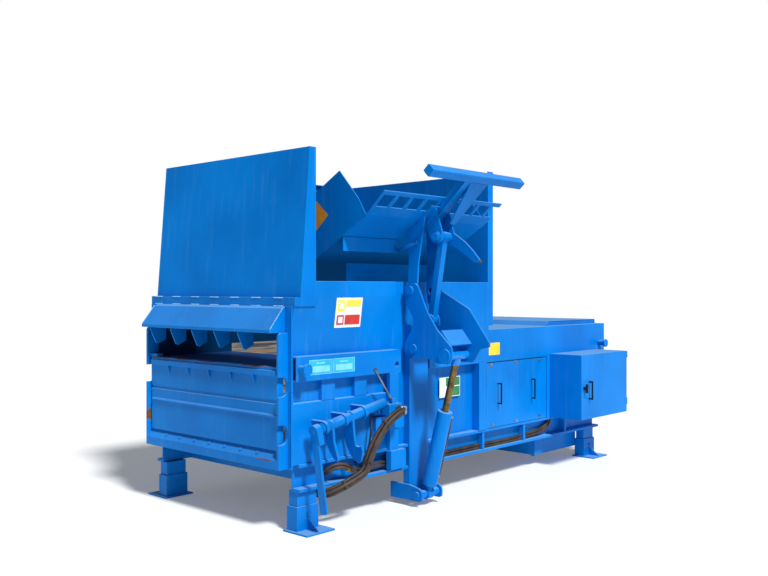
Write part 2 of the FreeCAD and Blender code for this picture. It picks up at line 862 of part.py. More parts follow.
def rear_side(label, band_pieces):
    """Posts, stepped strips for the access panel, and the plates between base and band."""
    inner = "-chamber_half - sheet"
    height = ("base_high", "band_low")
    inset = "-body_half + panel_inset + panel_thick"
    posts = [
        block(label + "_post", ("post_start", "post_end"), ("-body_half", inner), height),
        block(label + "_strip", ("post_end", "panel_start + 25"), (inset, inner), height),
        block(label + "_rear_strip", ("panel_end - 25", "panel_end + 8"), (inset, inner), height),
        block(label + "_rear_post", ("panel_end + 8", "3060"), ("-body_half", inner), height),
    ]
    back = block(
        label + "_back",
        ("chamber_long", "body_long - cover_thick"),
        (inner, "-chamber_half"),
        ("base_high", "deck_high"),
    )
    flush = block(
        label + "_flush_plate",
        ("3060", "body_long - cover_thick"),
        ("-body_half", "-body_half + sheet"),
        height,
    )
    return weld(label, *band_pieces, *posts, back, flush)


def access_panel(label):
    plate = block(
        label + "_plate",
        ("panel_start", "panel_end"),
        ("-body_half + panel_inset", "-body_half + panel_inset + panel_thick"),
        ("panel_low", "panel_high"),
    )
    face = "-body_half + panel_inset"
    handles = []
    for number, x in enumerate(("handle_first", "handle_second")):
        bar = (x, f"{face} - handle_reach", "handle_low")
        handles.append(rod(f"{label}_grip_{number}", bar, "handle_rod", "handle_high - handle_low"))
        for end, z in enumerate(("handle_low + handle_rod", "handle_high - handle_rod")):
            start = (x, f"{face} - handle_reach", z)
            handles.append(
                rod_y(f"{label}_grip_{number}_leg_{end}", start, "handle_rod", "handle_reach")
            )
    return weld(label, plate, *handles)


band_end = "body_long - cover_thick"
near_band = [
    band("near_band_front", ("band_start", "near_rear_start"), "-recess_half"),
    band("near_band_rear", ("near_rear_start", band_end), "-chamber_half - sheet"),
]
node(rear_side("near_rear_side", near_band))
far_band = [band("far_band_pattern", ("chamber_long", band_end), "-chamber_half - sheet")]
far_side_pattern = rear_side("far_side_pattern", far_band)
far_room = block(
    "far_side_room",
    ("post_start - 1", "chamber_long"),
    ("-body_half", "-chamber_half - sheet"),
    ("base_high", "band_low"),
)
node(other_side("far_rear_side", cut("far_side_trimmed", far_side_pattern, far_room)))
near_panel = node(access_panel("access_panel_near"))
far_panel_trim = block(
    "far_panel_room",
    ("panel_start", "chamber_long + 2"),
    ("-body_half", "-chamber_half"),
    ("panel_low", "panel_high"),
)
node(other_side("access_panel_far", cut("far_panel_trimmed", near_panel, far_panel_trim)))
node(
    block(
        "top_deck",
        ("chamber_long", band_end),
        ("-chamber_half", "chamber_half"),
        ("deck_high - sheet", "deck_high"),
    )
)
node(
    along_y(
        "hatch_lid",
        [
            ("hatch_start", "deck_high"),
            ("hatch_start + hatch_high", "deck_high + hatch_high", "8"),
            ("hatch_end", "deck_high + hatch_high", "8"),
            ("hatch_end", "deck_high"),
            ("hatch_end - hatch_sheet", "deck_high"),
            ("hatch_end - hatch_sheet", "deck_high + hatch_high - hatch_sheet"),
            ("hatch_start + hatch_high + 3", "deck_high + hatch_high - hatch_sheet"),
            ("hatch_start + hatch_sheet + 3", "deck_high"),
        ],
        ("-hatch_half", "hatch_half"),
    )
)
node(
    block(
        "rear_plate",
        (band_end, "body_long"),
        ("-body_half", "body_half"),
        ("base_high", "deck_high"),
    )
)

# Ram: platen with its apron, rod, cylinder and bulkhead

floor_top = "base_high + floor_thick"
platen_back = "platen_x + platen_thick"
node(
    weld(
        "platen",
        block(
            "platen_plate",
            ("platen_x", platen_back),
            ("-platen_half", "platen_half"),
            ("platen_low", "platen_high"),
        ),
        block(
            "platen_apron",
            (platen_back, f"{platen_back} + apron_long"),
            ("-apron_half", "apron_half"),
            ("platen_high - apron_thick", "platen_high"),
        ),
    )
)
node(
    weld(
        "ram_rod",
        rod_x("ram_rod_bar", (platen_back, "0", "ram_up"), "ram_rod", "ram_end - 120 - platen_x - platen_thick"),
        rod_x(
            "ram_piston",
            ("ram_end - 120 - piston_thick", "0", "ram_up"),
            "ram_bore - running_gap",
            "piston_thick",
        ),
    )
)
node(
    cut(
        "ram_barrel",
        rod_x("ram_barrel_tube", ("ram_start", "0", "ram_up"), "ram_outer", "ram_end - ram_start"),
        rod_x(
            "ram_barrel_bore",
            ("ram_start + gland_long", "0", "ram_up"),
            "ram_bore",
            "ram_end - ram_start - gland_long - 40",
        ),
        rod_x("ram_gland_bore", ("ram_start", "0", "ram_up"), "ram_rod + running_gap", "gland_long"),
    )
)
node(
    block(
        "ram_bulkhead",
        ("ram_end", "ram_end + bulkhead_thick"),
        ("-chamber_half", "chamber_half"),
        (floor_top, "deck_high - sheet"),
    )
)

# Power pack behind the cabinet side, and the drip tray under it

node(
    block("oil_tank", ("tank_start", "tank_end"), ("-tank_out", "-tank_in"), (floor_top, "tank_high"))
)
motor_start = "tank_end + pump_long"
node(
    weld(
        "pump_motor",
        rod_x("pump_body", ("tank_end", "-motor_y", "motor_up"), "pump_radius", "pump_long"),
        rod_x("motor_body", (motor_start, "-motor_y", "motor_up"), "motor_radius", "motor_long"),
        block(
            "motor_foot",
            (f"{motor_start} + 40", f"{motor_start} + motor_long - 60"),
            ("-motor_y - 80", "-motor_y + 80"),
            (floor_top, "motor_up - 40"),
        ),
    )
)
tray_outside = block(
    "tray_outside", ("tray_start", "tray_end"), ("-tray_out", "-tray_in"), ("tray_low", "base_low")
)
tray_inside = block(
    "tray_inside",
    ("tray_start + tray_sheet", "tray_end - tray_sheet"),
    ("-tray_out + tray_sheet", "-tray_in - tray_sheet"),
    ("tray_low + tray_sheet", "base_low"),
)
tray_plug = rod(
    "tray_plug", ("tray_start + 45", "-tray_out + 45", "tray_low - 18"), "plug_radius", "24"
)
node(weld("drip_tray", cut("tray_shell", tray_outside, tray_inside), tray_plug))

# Switch cabinet with its hinged door and latch

cabinet_face = "-cabinet_out + cabinet_door"
hinge_x = "cabinet_end + cabinet_hinge + door_gap"
hinge_y = "-cabinet_out + cabinet_door / 2"
cabinet_box = cut(
    "cabinet_box",
    block(
        "cabinet_outside",
        ("cabinet_start", "cabinet_end"),
        (f"{cabinet_face} + door_gap", "-body_half"),
        ("cabinet_low", "cabinet_high"),
    ),
    block(
        "cabinet_inside",
        ("cabinet_start + cabinet_sheet", "cabinet_end - cabinet_sheet"),
        ("-cabinet_out", "-body_half - cabinet_sheet"),
        ("cabinet_low + cabinet_sheet", "cabinet_high - cabinet_sheet"),
    ),
)


def knuckle(label, z, length, bore):
    outside = rod(label + "_round", (hinge_x, hinge_y, z), "cabinet_hinge", length)
    if not bore:
        return outside
    inside = rod(label + "_bore", (hinge_x, hinge_y, z), "hinge_pin + running_gap", length)
    return cut(label, outside, inside)


def cabinet_hinge(label, z):
    """The fixed half: two knuckles on a leaf, and the pin through all three."""
    pieces = [rod(label + "_pin", (hinge_x, hinge_y, z), "hinge_pin", "hinge_long")]
    for number, low in enumerate((z, f"{z} + hinge_long * 2 / 3")):
        pieces.append(knuckle(f"{label}_knuckle_{number}", low, "hinge_long / 3", False))
        pieces.append(
            block(
                f"{label}_leaf_{number}",
                ("cabinet_end", "cabinet_end + 4"),
                (hinge_y, f"{hinge_y} + 45"),
                (low, f"{low} + hinge_long / 3"),
            )
        )
    pieces.append(
        block(
            label + "_leaf",
            ("cabinet_end", "cabinet_end + 4"),
            (f"{hinge_y} + 15", f"{hinge_y} + 45"),
            (z, f"{z} + hinge_long"),
        )
    )
    return weld(label, *pieces)


node(
    weld(
        "cabinet_shell",
        cabinet_box,
        cabinet_hinge("hinge_lower", "hinge_low"),
        cabinet_hinge("hinge_upper", "hinge_high"),
    )
)


def cabinet_door():
    panel = block(
        "cabinet_door_panel",
        ("cabinet_start + 1", "cabinet_end - 1"),
        ("-cabinet_out", cabinet_face),
        ("cabinet_low + 1", "cabinet_high - 1"),
    )
    arms = []
    bores = []
    for name, z in (("lower", "hinge_low"), ("upper", "hinge_high")):
        low = f"{z} + hinge_long / 3 + door_gap"
        length = "hinge_long / 3 - 2 * door_gap"
        arms.append(
            block(
                f"cabinet_door_arm_{name}",
                ("cabinet_end - 2", hinge_x),
                ("-cabinet_out", cabinet_face),
                (low, f"{low} + {length}"),
            )
        )
        arms.append(rod(f"cabinet_door_knuckle_{name}", (hinge_x, hinge_y, low), "cabinet_hinge", length))
        bores.append(
            rod(f"cabinet_door_bore_{name}", (hinge_x, hinge_y, low), "hinge_pin + running_gap", length)
        )
    grip = [rod("cabinet_grip", ("grip_x", "-cabinet_out - 35", "grip_low"), "7", "grip_high - grip_low")]
    for number, z in enumerate(("grip_low + 7", "grip_high - 7")):
        grip.append(rod_y(f"cabinet_grip_leg_{number}", ("grip_x", "-cabinet_out - 35", z), "7", "35"))
    spindle_hole = rod_y(
        "cabinet_latch_hole",
        ("latch_x", "-cabinet_out - 1", "latch_up"),
        "latch_radius / 2 + running_gap",
        "cabinet_door + 2",
    )
    return cut("cabinet_door", weld("cabinet_door_welded", panel, *arms, *grip), *bores, spindle_hole)


node(cabinet_door())
node(
    weld(
        "cabinet_latch",
        rod_y(
            "latch_knob",
            ("latch_x", "-cabinet_out - latch_reach", "latch_up"),
            "latch_radius",
            "latch_reach - door_gap",
        ),
        rod_y(
            "latch_spindle",
            ("latch_x", "-cabinet_out - 1", "latch_up"),
            "latch_radius / 2",
            "cabinet_door + 8",
        ),
        block(
            "latch_handle",
            ("latch_x - 6", "latch_x + 6"),
            ("-cabinet_out - latch_reach - 10", "-cabinet_out - latch_reach + 10"),
            ("latch_up - 38", "latch_up + 38"),
        ),
        block(
            "latch_cam",
            ("latch_x - 9", "latch_x + 9"),
            ("-cabinet_out + cabinet_door + 3", "-cabinet_out + cabinet_door + 7"),
            ("latch_up - 9", "latch_up + 32"),
        ),
    )
)

# Lifter mast with the lugs for the crank, the tie link and the cylinder


def mast():
    height = ("mast_low", "mast_top")
    web = "-mast_out + mast_web"
    pieces = [
        block("mast_face", ("mast_start", "mast_end"), ("-mast_out", web), height),
        block("mast_flange_front", ("mast_start", "mast_start + mast_web"), (web, "-recess_half"), height),
        block("mast_flange_rear", ("mast_end - mast_web", "mast_end"), (web, "-recess_half"), height),
    ]
    foot_lug = [
        ("-clevis_out - 47", "mast_low", "25"),
        ("-clevis_out - 47", "clevis_up + 47", "45"),
        ("-mast_out", "clevis_up + 70"),
        ("-recess_half + 115", "clevis_up + 70"),
        ("-recess_half + 115", "mast_low"),
    ]
    crank_lug = [
        ("-mast_out", "crank_up - 62"),
        ("-crank_out - 50", "crank_up - 50", "48"),
        ("-crank_out - 50", "crank_up + 50", "48"),
        ("-mast_out", "crank_up + 72"),
    ]
    link_lug = [
        ("-mast_out", "mast_top - 120"),
        ("-link_out - 42", "link_up - 50", "35"),
        ("-link_out - 42", "link_up + 42", "40"),
        ("-link_out + 42", "link_up + 42", "40"),
        ("-mast_out", "mast_top"),
    ]
    lug_rows = (
        ("foot", foot_lug, ("mast_start - mast_lug", "mast_start"), ("mast_end", "mast_end + mast_lug")),
        ("crank", crank_lug, ("mast_start", "mast_start + mast_lug"), ("mast_end - mast_lug", "mast_end")),
        (
            "link",
            link_lug,
            ("link_front - door_gap - mast_lug", "link_front - door_gap"),
            ("link_rear + door_gap", "link_rear + door_gap + mast_lug"),
        ),
    )
    holes = {
        "foot": ("-clevis_out", "clevis_up", "clevis_pin + running_gap"),
        "crank": ("-crank_out", "crank_up", "crank_pin + running_gap"),
        "link": ("-link_out", "link_up", "link_pin + running_gap"),
    }
    for name, outline, *sides in lug_rows:
        for number, x in enumerate(sides):
            pieces.append(along_x(f"mast_{name}_lug_{number}", outline, x, [holes[name]]))
    return weld("lift_mast", *pieces)


node(mast())

# Crank: two unlike plates, a cross plate, and short pins towards the tipping frame


def crank():
    top = [
        ("-crank_out + 75", "crank_up - 75", "60"),
        ("-crank_out + 95", "crank_up + 20", "60"),
        ("-crank_out - 12", "crank_up + 198", "90"),
        ("-arm_out + 45", "arm_up - 85"),
        ("-arm_out + 62", "arm_up + 55", "50"),
    ]
    heel = [
        ("-rod_out - 62", "rod_up - 55", "50"),
        ("-rod_out + 60", "rod_up - 55", "40"),
        ("-crank_out - 110", "crank_up - 58"),
    ]
    front = top + [
        ("-arm_out - 62", "arm_up + 55", "50"),
        ("-arm_out - 165", "arm_up - 157", "60"),
        ("-rod_out + 69", "rod_up + 181"),
        ("-rod_out - 62", "rod_up + 62", "50"),
    ]
    rear = top + [
        ("-arm_out - 62", "arm_up + 42", "15"),
        ("-arm_out - 91", "arm_up - 5"),
        ("-rod_out - 16", "rod_up + 333", "60"),
        ("-crank_reach", "rod_up + 90"),
        ("-crank_reach", "rod_up + 62"),
        ("-rod_out - 120", "rod_up + 43"),
    ]
    pin_hole = [("-crank_out", "crank_up", "crank_pin + running_gap")]
    front_x = ("crank_front", "crank_front + crank_plate")
    rear_x = ("crank_rear", "crank_rear + crank_plate")
    cross = along_x(
        "crank_cross_plate",
        [
            ("-rod_out + 44", "rod_up + 182"),
            ("-rod_out - 44", "rod_up + 81"),
            ("-rod_out - 33", "rod_up + 71"),
            ("-rod_out + 55", "rod_up + 172"),
        ],
        ("crank_front + crank_plate", "crank_rear"),
    )
    pieces = [
        along_x("crank_plate_front", front + heel, front_x, pin_hole),
        along_x("crank_plate_rear", rear + heel, rear_x, pin_hole),
        cross,
    ]
    for name, out, up, radius in (
        ("arm", "-arm_out", "arm_up", "arm_pin"),
        ("rod", "-rod_out", "rod_up", "rod_eye"),
    ):
        pieces.append(
            rod_x(f"crank_{name}_boss_front", ("crank_front - 12", out, up), radius + " + 10", "12")
        )
        pieces.append(
            rod_x(f"crank_{name}_boss_rear", ("crank_rear + crank_plate", out, up), radius + " + 10", "12")
        )
    return weld("lift_crank", *pieces)


node(crank())


def pin(label, x, out, up, radius, collar=()):
    """A pin with a head at each end, and collars that centre what turns on it."""
    pieces = [rod_x(label + "_bar", (f"{x[0]} - 14", out, up), radius, f"({x[1]}) - ({x[0]}) + 28")]
    pieces.append(rod_x(label + "_head", (f"{x[0]} - 14", out, up), f"{radius} + 8", "13"))
    pieces.append(rod_x(label + "_nut", (f"{x[1]} + 1", out, up), f"{radius} + 6", "13"))
    for number, (low, high) in enumerate(collar):
        pieces.append(
            rod_x(f"{label}_collar_{number}", (low, out, up), f"{radius} + 10", f"({high}) - ({low})")
        )
    return weld(label, *pieces)


node(
    several(
        "mast_pins",
        [
            pin(
                "crank_pin_whole",
                ("crank_front - 0.5", "crank_rear + crank_plate + 0.5"),
                "-crank_out",
                "crank_up",
                "crank_pin",
                [
                    ("crank_front + crank_plate + 0.5", "mast_start - 0.5"),
                    ("mast_end + 0.5", "crank_rear - 0.5"),
                ],
            ),
            pin(
                "link_pin_whole",
                ("link_front - door_gap - mast_lug", "link_rear + door_gap + mast_lug"),
                "-link_out",
                "link_up",
                "link_pin",
            ),
            pin(
                "clevis_pin_whole",
                ("mast_start - mast_lug", "mast_end + mast_lug"),
                "-clevis_out",
                "clevis_up",
                "clevis_pin",
                [
                    ("mast_start + 0.5", "barrel_front - 0.5"),
                    ("barrel_rear + 0.5", "mast_end - 0.5"),
                ],
            ),
        ],
    )
)

# Lift cylinder: barrel on the clevis pin, rod with the cross tube between the crank plates

lift_lean = "atan((rod_out - clevis_out) / (rod_up - clevis_up)) / 1deg"
lift_long = "hypot(rod_out - clevis_out; rod_up - clevis_up)"
lift_x = "(barrel_front + barrel_rear) / 2"


def on_lift(distance):
    """A place on the cylinder's axis, so far from the clevis pin."""
    return (
        lift_x,
        f"-clevis_out - ({distance}) * sin(atan((rod_out - clevis_out) / (rod_up - clevis_up)))",
        f"clevis_up + ({distance}) * cos(atan((rod_out - clevis_out) / (rod_up - clevis_up)))",
    )


def lift_bar(label, distance, radius, length):
    return rod(label, on_lift(distance), radius, length, (1, 0, 0), lift_lean)


barrel_eye = cut(
    "barrel_eye",
    rod_x(
        "barrel_eye_round",
        ("barrel_front", "-clevis_out", "clevis_up"),
        "clevis_pin + 20",
        "barrel_rear - barrel_front",
    ),
    rod_x(
        "barrel_eye_bore",
        ("barrel_front - 1", "-clevis_out", "clevis_up"),
        "clevis_pin + running_gap",
        "barrel_rear - barrel_front + 2",
    ),
)
barrel_tube = cut(
    "barrel_tube",
    lift_bar("barrel_outside", "barrel_foot", "barrel_radius", "barrel_long - barrel_foot"),
    lift_bar("barrel_inside", "barrel_foot + 20", "barrel_bore", "barrel_long - barrel_foot - 50"),
    lift_bar("barrel_gland", "barrel_long - 31", "rod_radius + running_gap", "32"),
)
barrel_neck = lift_bar("barrel_neck", "clevis_pin + 8", "28", "barrel_foot - clevis_pin")
node(weld("lift_barrel", barrel_tube, barrel_neck, barrel_eye))
node(
    weld(
        "lift_rod",
        lift_bar("rod_bar", "385", "rod_radius", f"{lift_long} - 385"),
        lift_bar("rod_piston", "385", "barrel_bore - running_gap", "piston_long"),
        lift_bar("rod_end", f"{lift_long} - 75", "rod_radius + 7", "60"),
        rod_x(
            "rod_cross_tube",
            ("crank_front + crank_plate + 5", "-rod_out", "rod_up"),
            "rod_tube",
            "crank_rear - crank_front - crank_plate - 10",
        ),
    )
)

# Tie link from the mast to the hub of the tipping frame

link_lean = "atan((hub_out - link_out) / (hub_up - link_up)) / 1deg"
link_long = "hypot(hub_out - link_out; hub_up - link_up)"


def tie_link():
    bar = padded(
        "link_bar",
        "YZ_Plane",
        [
            ("-link_wide / 2", "0"),
            ("link_wide / 2", "0"),
            ("link_wide / 2", link_long),
            ("-link_wide / 2", link_long),
        ],
        "link_rear - link_front",
        (),
    )
    place(bar, "link_front", "-link_out", "link_up", (1, 0, 0), link_lean)
    length = "link_rear - link_front"
    eyes = [
        rod_x("link_eye_lower", ("link_front", "-link_out", "link_up"), "boss - 8", length),
        rod_x("link_eye_upper", ("link_front", "-hub_out", "hub_up"), "boss - 5", length),
    ]
    bores = [
        rod_x(
            "link_bore_lower",
            ("link_front - 1", "-link_out", "link_up"),
            "link_pin + running_gap",
            length + " + 2",
        ),
        rod_x(
            "link_bore_upper", ("link_front - 1", "-hub_out", "hub_up"), "hub_pin + running_gap", length + " + 2"
        ),
    ]
    return cut("tie_link", weld("link_welded", bar, *eyes), *bores)


node(tie_link())

# Tipping frame: slotted comb and chute in one sheet, cheeks, arms, hub and the bar for the bin

comb_lean = "-atan((comb_up - fold_up) / (comb_out - fold_out)) / 1deg"
comb_long = "hypot(comb_out - fold_out; comb_up - fold_up)"
comb_under = "fold_up - frame_sheet"


def on_comb(label, points, x):
    """An outline of (outward, above) the comb's underside from the fold, drawn out along X."""
    turned = [(f"-({point[0]})", *point[1:]) for point in points]
    body = padded(label, "YZ_Plane", turned, f"({x[1]}) - ({x[0]})", ())
    return place(body, x[0], "-fold_out", comb_under, (1, 0, 0), comb_lean)


def comb_and_chute():
    comb = on_comb(
        "comb_sheet",
        [("0", "0"), (comb_long, "0"), (comb_long, "frame_sheet"), ("0", "frame_sheet")],
        ("frame_start", "frame_end"),
    )
    slots = []
    for row, first in enumerate(("slot_first", "slot_second")):
        for number in range(sizes["slot_count"]):
            low = f"{first} + {number} * slot_pitch"
            slots.append(
                on_comb(
                    f"comb_slot_{row}_{number}",
                    [
                        (f"{comb_long} - comb_edge - slot_wide", "-5"),
                        (f"{comb_long} - comb_edge", "-5"),
                        (f"{comb_long} - comb_edge", "frame_sheet + 5"),
                        (f"{comb_long} - comb_edge - slot_wide", "frame_sheet + 5"),
                    ],
                    (low, f"{low} + slot_long"),
                )
            )
    chute = along_x(
        "chute_sheet",
        [
            ("-fold_out", "fold_up"),
            ("-chute_out", "chute_up"),
            ("-tail_out", "tail_up"),
            ("-tail_out", "tail_up - frame_sheet"),
            ("-chute_out", "chute_up - frame_sheet"),
            ("-fold_out", comb_under),
        ],
        ("frame_start", "frame_end"),
    )
    rail_top = "chute_up - frame_sheet"
    rail_plate = along_y(
        "chute_rail",
        [
            ("frame_start", "rail_low"),
            ("rail_end", "rail_low", "30"),
            ("rail_end", rail_top, "30"),
            ("frame_start", rail_top),
        ],
        ("-chute_out - 12", "-chute_out"),
        [("rail_end - 32", "rail_low + 48", "12")],
    )
    slotted = cut("comb_slotted", comb, several("comb_slots", slots))
    return weld("tipping_chute", slotted, chute, rail_plate)


node(comb_and_chute())
cheek_outline = [
    ("-fold_out", "fold_up"),
    ("-chute_out", "chute_up - frame_sheet"),
    ("-tail_out", "tail_up - frame_sheet"),
    ("-tail_out", "cheek_tail_up"),
    ("-cheek_out", "cheek_up"),
    ("-fold_out + 70", "fold_up + 112"),
]
node(along_x("chute_cheek_front", cheek_outline, ("frame_start - frame_sheet", "frame_start")))
node(along_x("chute_cheek_rear", cheek_outline, ("frame_end", "frame_end + frame_sheet")))


def tilt_arms():
    """Arms down to the crank, hub lugs, the stem under the comb and its cross plate."""
    arm = [
        ("-arm_out - boss", "arm_up - boss", "42"),
        ("-arm_out + boss", "arm_up - boss", "42"),
        ("-arm_out + 30", "arm_up + 200"),
        (
            "-fold_out + 110",
            "fold_up - frame_sheet - 110 * (fold_up - chute_up) / (fold_out - chute_out)",
        ),
        ("-fold_out", comb_under),
        ("-fold_out - 60", f"{comb_under} + 60 * (comb_up - fold_up) / (comb_out - fold_out)"),
        ("-arm_out - 60", "arm_up + 200"),
    ]
    arm_hole = [("-arm_out", "arm_up", "arm_pin")]
    pieces = [
        along_x("tilt_arm_front", arm, ("arm_front", "arm_front + arm_thick"), arm_hole),
        along_x("tilt_arm_rear", arm, ("arm_rear", "arm_rear + arm_thick"), arm_hole),
        on_comb(
            "tilt_cross_plate",
            [("0", "-arm_thick"), ("150", "-arm_thick"), ("150", "0"), ("0", "0")],
            ("arm_front", "arm_rear + arm_thick"),
        ),
        on_comb(
            "tilt_stem",
            [
                ("20", "0"),
                ("20", "-stem_deep"),
                ("hypot(stem_out - fold_out; stem_up - fold_up)", "-stem_deep"),
                ("hypot(stem_out - fold_out; stem_up - fold_up)", "0"),
            ],
            ("stem_start", "stem_end"),
        ),
    ]
    lug = [
        ("-hub_out - boss", "hub_up - boss", "42"),
        ("-hub_out + boss", "hub_up - boss", "42"),
        ("-fold_out", comb_under),
        ("-fold_out - 110", f"{comb_under} + 110 * (comb_up - fold_up) / (comb_out - fold_out)"),
        ("-hub_out - boss", "hub_up + 40"),
    ]
    hub_hole = [("-hub_out", "hub_up", "hub_pin + running_gap")]
    for name, x in (
        ("front", ("hub_front + 10", "hub_front + 25")),
        ("rear", ("hub_rear - 25", "hub_rear - 10")),
    ):
        pieces.append(along_x(f"hub_lug_{name}", lug, x, hub_hole))
    spacers = [
        rod_x(f"hub_spacer_{number}", (low, "-hub_out", "hub_up"), "hub_radius", f"({high}) - ({low})")
        for number, (low, high) in enumerate(
            (
                ("hub_front", "link_front - door_gap"),
                ("link_rear + door_gap", "hub_rear"),
            )
        )
    ]
    bore = rod_x(
        "hub_bore",
        ("hub_front - 1", "-hub_out", "hub_up"),
        "hub_pin + running_gap",
        "hub_rear - hub_front + 2",
    )
    return cut("tilt_arms", weld("tilt_welded", *pieces, *spacers), bore)


node(tilt_arms())
node(pin("hub_pin", ("hub_front", "hub_rear"), "-hub_out", "hub_up", "hub_pin"))
stem_long = "hypot(stem_out - fold_out; stem_up - fold_up)"
node(
    on_comb(
        "tee_bar",
        [
            (stem_long, "-stem_deep - 8", "8"),
            (f"{stem_long} + tee_wide", "-stem_deep - 8", "8"),
            (f"{stem_long} + tee_wide", "-stem_deep - 8 + tee_wide", "8"),
            (stem_long, "-stem_deep - 8 + tee_wide", "8"),
        ],
        ("tee_start", "tee_end"),
    )
)

# Lock shaft along the near side, rising to the rear, with its claws, bearings and hand lever


def along_shaft(station):
    return (
        f"shaft_x + ({station}) * cos(shaft_rise * 1deg)",
        "-shaft_out",
        f"shaft_up + ({station}) * sin(shaft_rise * 1deg)",
    )


def shaft_bar(label, station, radius, length):
    return rod(label, along_shaft(station), radius, length, (0, 1, 0), "90 - shaft_rise")


def across_shaft(label, points, station, thick, holes=()):
    """An outline of (y, z) from the shaft's axis, square to the shaft."""
    body = padded(label, "YZ_Plane", points, thick, holes)
    return place(body, *along_shaft(station), (0, 1, 0), "-shaft_rise")


def lock_shaft():
    claw = [
        ("38", "38", "34"),
        ("-38", "38", "34"),
        ("-30", "-150"),
        ("-40", "-235", "40"),
        ("-100", "-245", "30"),
        ("-128", "-205"),
        ("-156", "-222"),
        ("-128", "-318", "60"),
        ("20", "-325", "90"),
        ("42", "-200"),
    ]
    small = [
        ("32", "32", "28"),
        ("-32", "32", "28"),
        ("-24", "-130"),
        ("-40", "-195", "30"),
        ("-88", "-205"),
        ("-96", "-228"),
        ("-60", "-262", "30"),
        ("10", "-255", "50"),
        ("34", "-150"),
    ]
    return weld(
        "lock_shaft",
        shaft_bar("lock_bar", "-40", "shaft_radius", "shaft_long + 40"),
        shaft_bar("lock_tube", "tube_start", "tube_radius", "shaft_long - tube_start"),
        across_shaft("lock_claw", claw, "claw_station", "claw_thick"),
        across_shaft("lock_claw_small", small, "small_claw_station", "claw_thick"),
    )


node(lock_shaft())
bearing = [
    ("-bearing_radius", "-bearing_radius", "bearing_radius - 3"),
    ("-bearing_radius", "bearing_radius", "bearing_radius - 3"),
    ("shaft_out - wall_half", "bearing_radius"),
    ("shaft_out - wall_half", "-bearing_radius"),
]
bearing_hole = [("0", "0", "shaft_radius + shaft_gap")]
node(
    several(
        "shaft_bearings",
        [
            across_shaft(f"shaft_bearing_{number}", bearing, station, "bearing_thick", bearing_hole)
            for number, station in enumerate(("60", "bearing_station", "430"))
        ],
    )
)


def hand_lever():
    """A pear-shaped clamp on the shaft's end with the flat lever hanging from it."""
    clamp = [
        ("48", "46", "40"),
        ("-48", "46", "40"),
        ("-30 - 0.05 * lever_long", "-90", "12"),
        ("22 - 0.05 * lever_long", "-90", "12"),
    ]
    clamp_plate = across_shaft(
        "lever_clamp", clamp, "-34", "46", [("0", "0", "shaft_radius + shaft_gap")]
    )
    flat = padded(
        "lever_flat",
        "YZ_Plane",
        [
            ("-lever_wide / 2", "-40"),
            ("-lever_wide / 2", "-lever_long", "12"),
            ("lever_wide / 2", "-lever_long", "12"),
            ("lever_wide / 2", "-40"),
        ],
        "lever_thick",
        (),
    )
    place(flat, *along_shaft("-20"), (1, 0, 0), "-lever_lean")
    return weld("hand_lever", clamp_plate, flat)


node(hand_lever())

# Control valve on its stand, with the lever on top

node(
    weld(
        "valve_stand",
        block("stand_post", ("888", "near_front_end"), ("-wall_half - 40", "-wall_half"), ("base_high", "wall_ledge")),
        block("stand_post_upper", ("888", "near_front_end"), ("-wall_half - 40", "-rail_reach"), ("300", "beam_low")),
        block("stand_bar", ("732", "1029"), ("-wall_half - 50", "-wall_half - 12"), ("594", "688")),
        block("stand_foot", ("880", "1040"), ("-wall_half - 60", "-rail_reach"), ("300", "435")),
    )
)
valve_low = "valve_up - valve_high / 2"
valve_top = "valve_up + valve_high / 2"
node(
    weld(
        "control_valve",
        block(
            "valve_body",
            ("valve_x - valve_long / 2", "valve_x + valve_long / 2"),
            ("-valve_out - valve_deep / 2", "-valve_out + valve_deep / 2"),
            (valve_low, valve_top),
        ),
        block(
            "valve_bracket",
            ("valve_x - valve_long / 2", "valve_x + valve_long / 2"),
            ("-valve_out + valve_deep / 2", "-wall_half - 40"),
            (valve_low, f"{valve_low} + 14"),
        ),
        block(
            "valve_pad",
            ("valve_x - 110", "888"),
            ("-wall_half - 40", "-wall_half"),
            (valve_low, valve_top),
        ),
        *[
            block(
                f"valve_fork_{number}",
                ("valve_x - 20", "valve_x + 20"),
                (f"-valve_out + {low}", f"-valve_out + {low} + 8"),
                (valve_top, f"{valve_top} + 36"),
            )
            for number, low in enumerate(("-22", "14"))
        ],
    )
)
node(
    weld(
        "valve_lever",
        rod_y(
            "valve_trunnion",
            ("valve_x", "-valve_out - 13.6", f"{valve_top} + 20"),
            "12",
            "27.2",
        ),
        rod(
            "valve_lever_rod",
            ("valve_x", "-valve_out", f"{valve_top} + 20"),
            "valve_rod",
            "valve_lever",
            (0, 1, 0),
            "-valve_lean",
        ),
        rod(
            "valve_knob",
            (
                "valve_x - valve_lever * sin(valve_lean * 1deg)",
                "-valve_out",
                f"{valve_top} + 20 + valve_lever * cos(valve_lean * 1deg)",
            ),
            "14",
            "30",
            (0, 1, 0),
            "-valve_lean",
        ),
    )
)

document.recompute()

failed = [
    f"{item.Label}: {item.State}"
    for item in document.Objects
    if "Invalid" in item.State or "Error" in item.State
]
for name, item in nodes.items():
    if item.Shape.isNull() or not item.Shape.isValid() or not item.Shape.Solids:
        failed.append(f"{name}: shape")
if failed:
    raise SystemExit("failed: " + "; ".join(failed))

os.makedirs("parts", exist_ok=True)
for name, item in nodes.items():
    item.Shape.exportStep(f"parts/{name}.step")
whole = Part.makeCompound([item.Shape for item in nodes.values()])
print(len(nodes), "nodes", whole.BoundBox)
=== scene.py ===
import math

import bmesh
import bpy
from mathutils import Matrix, Vector


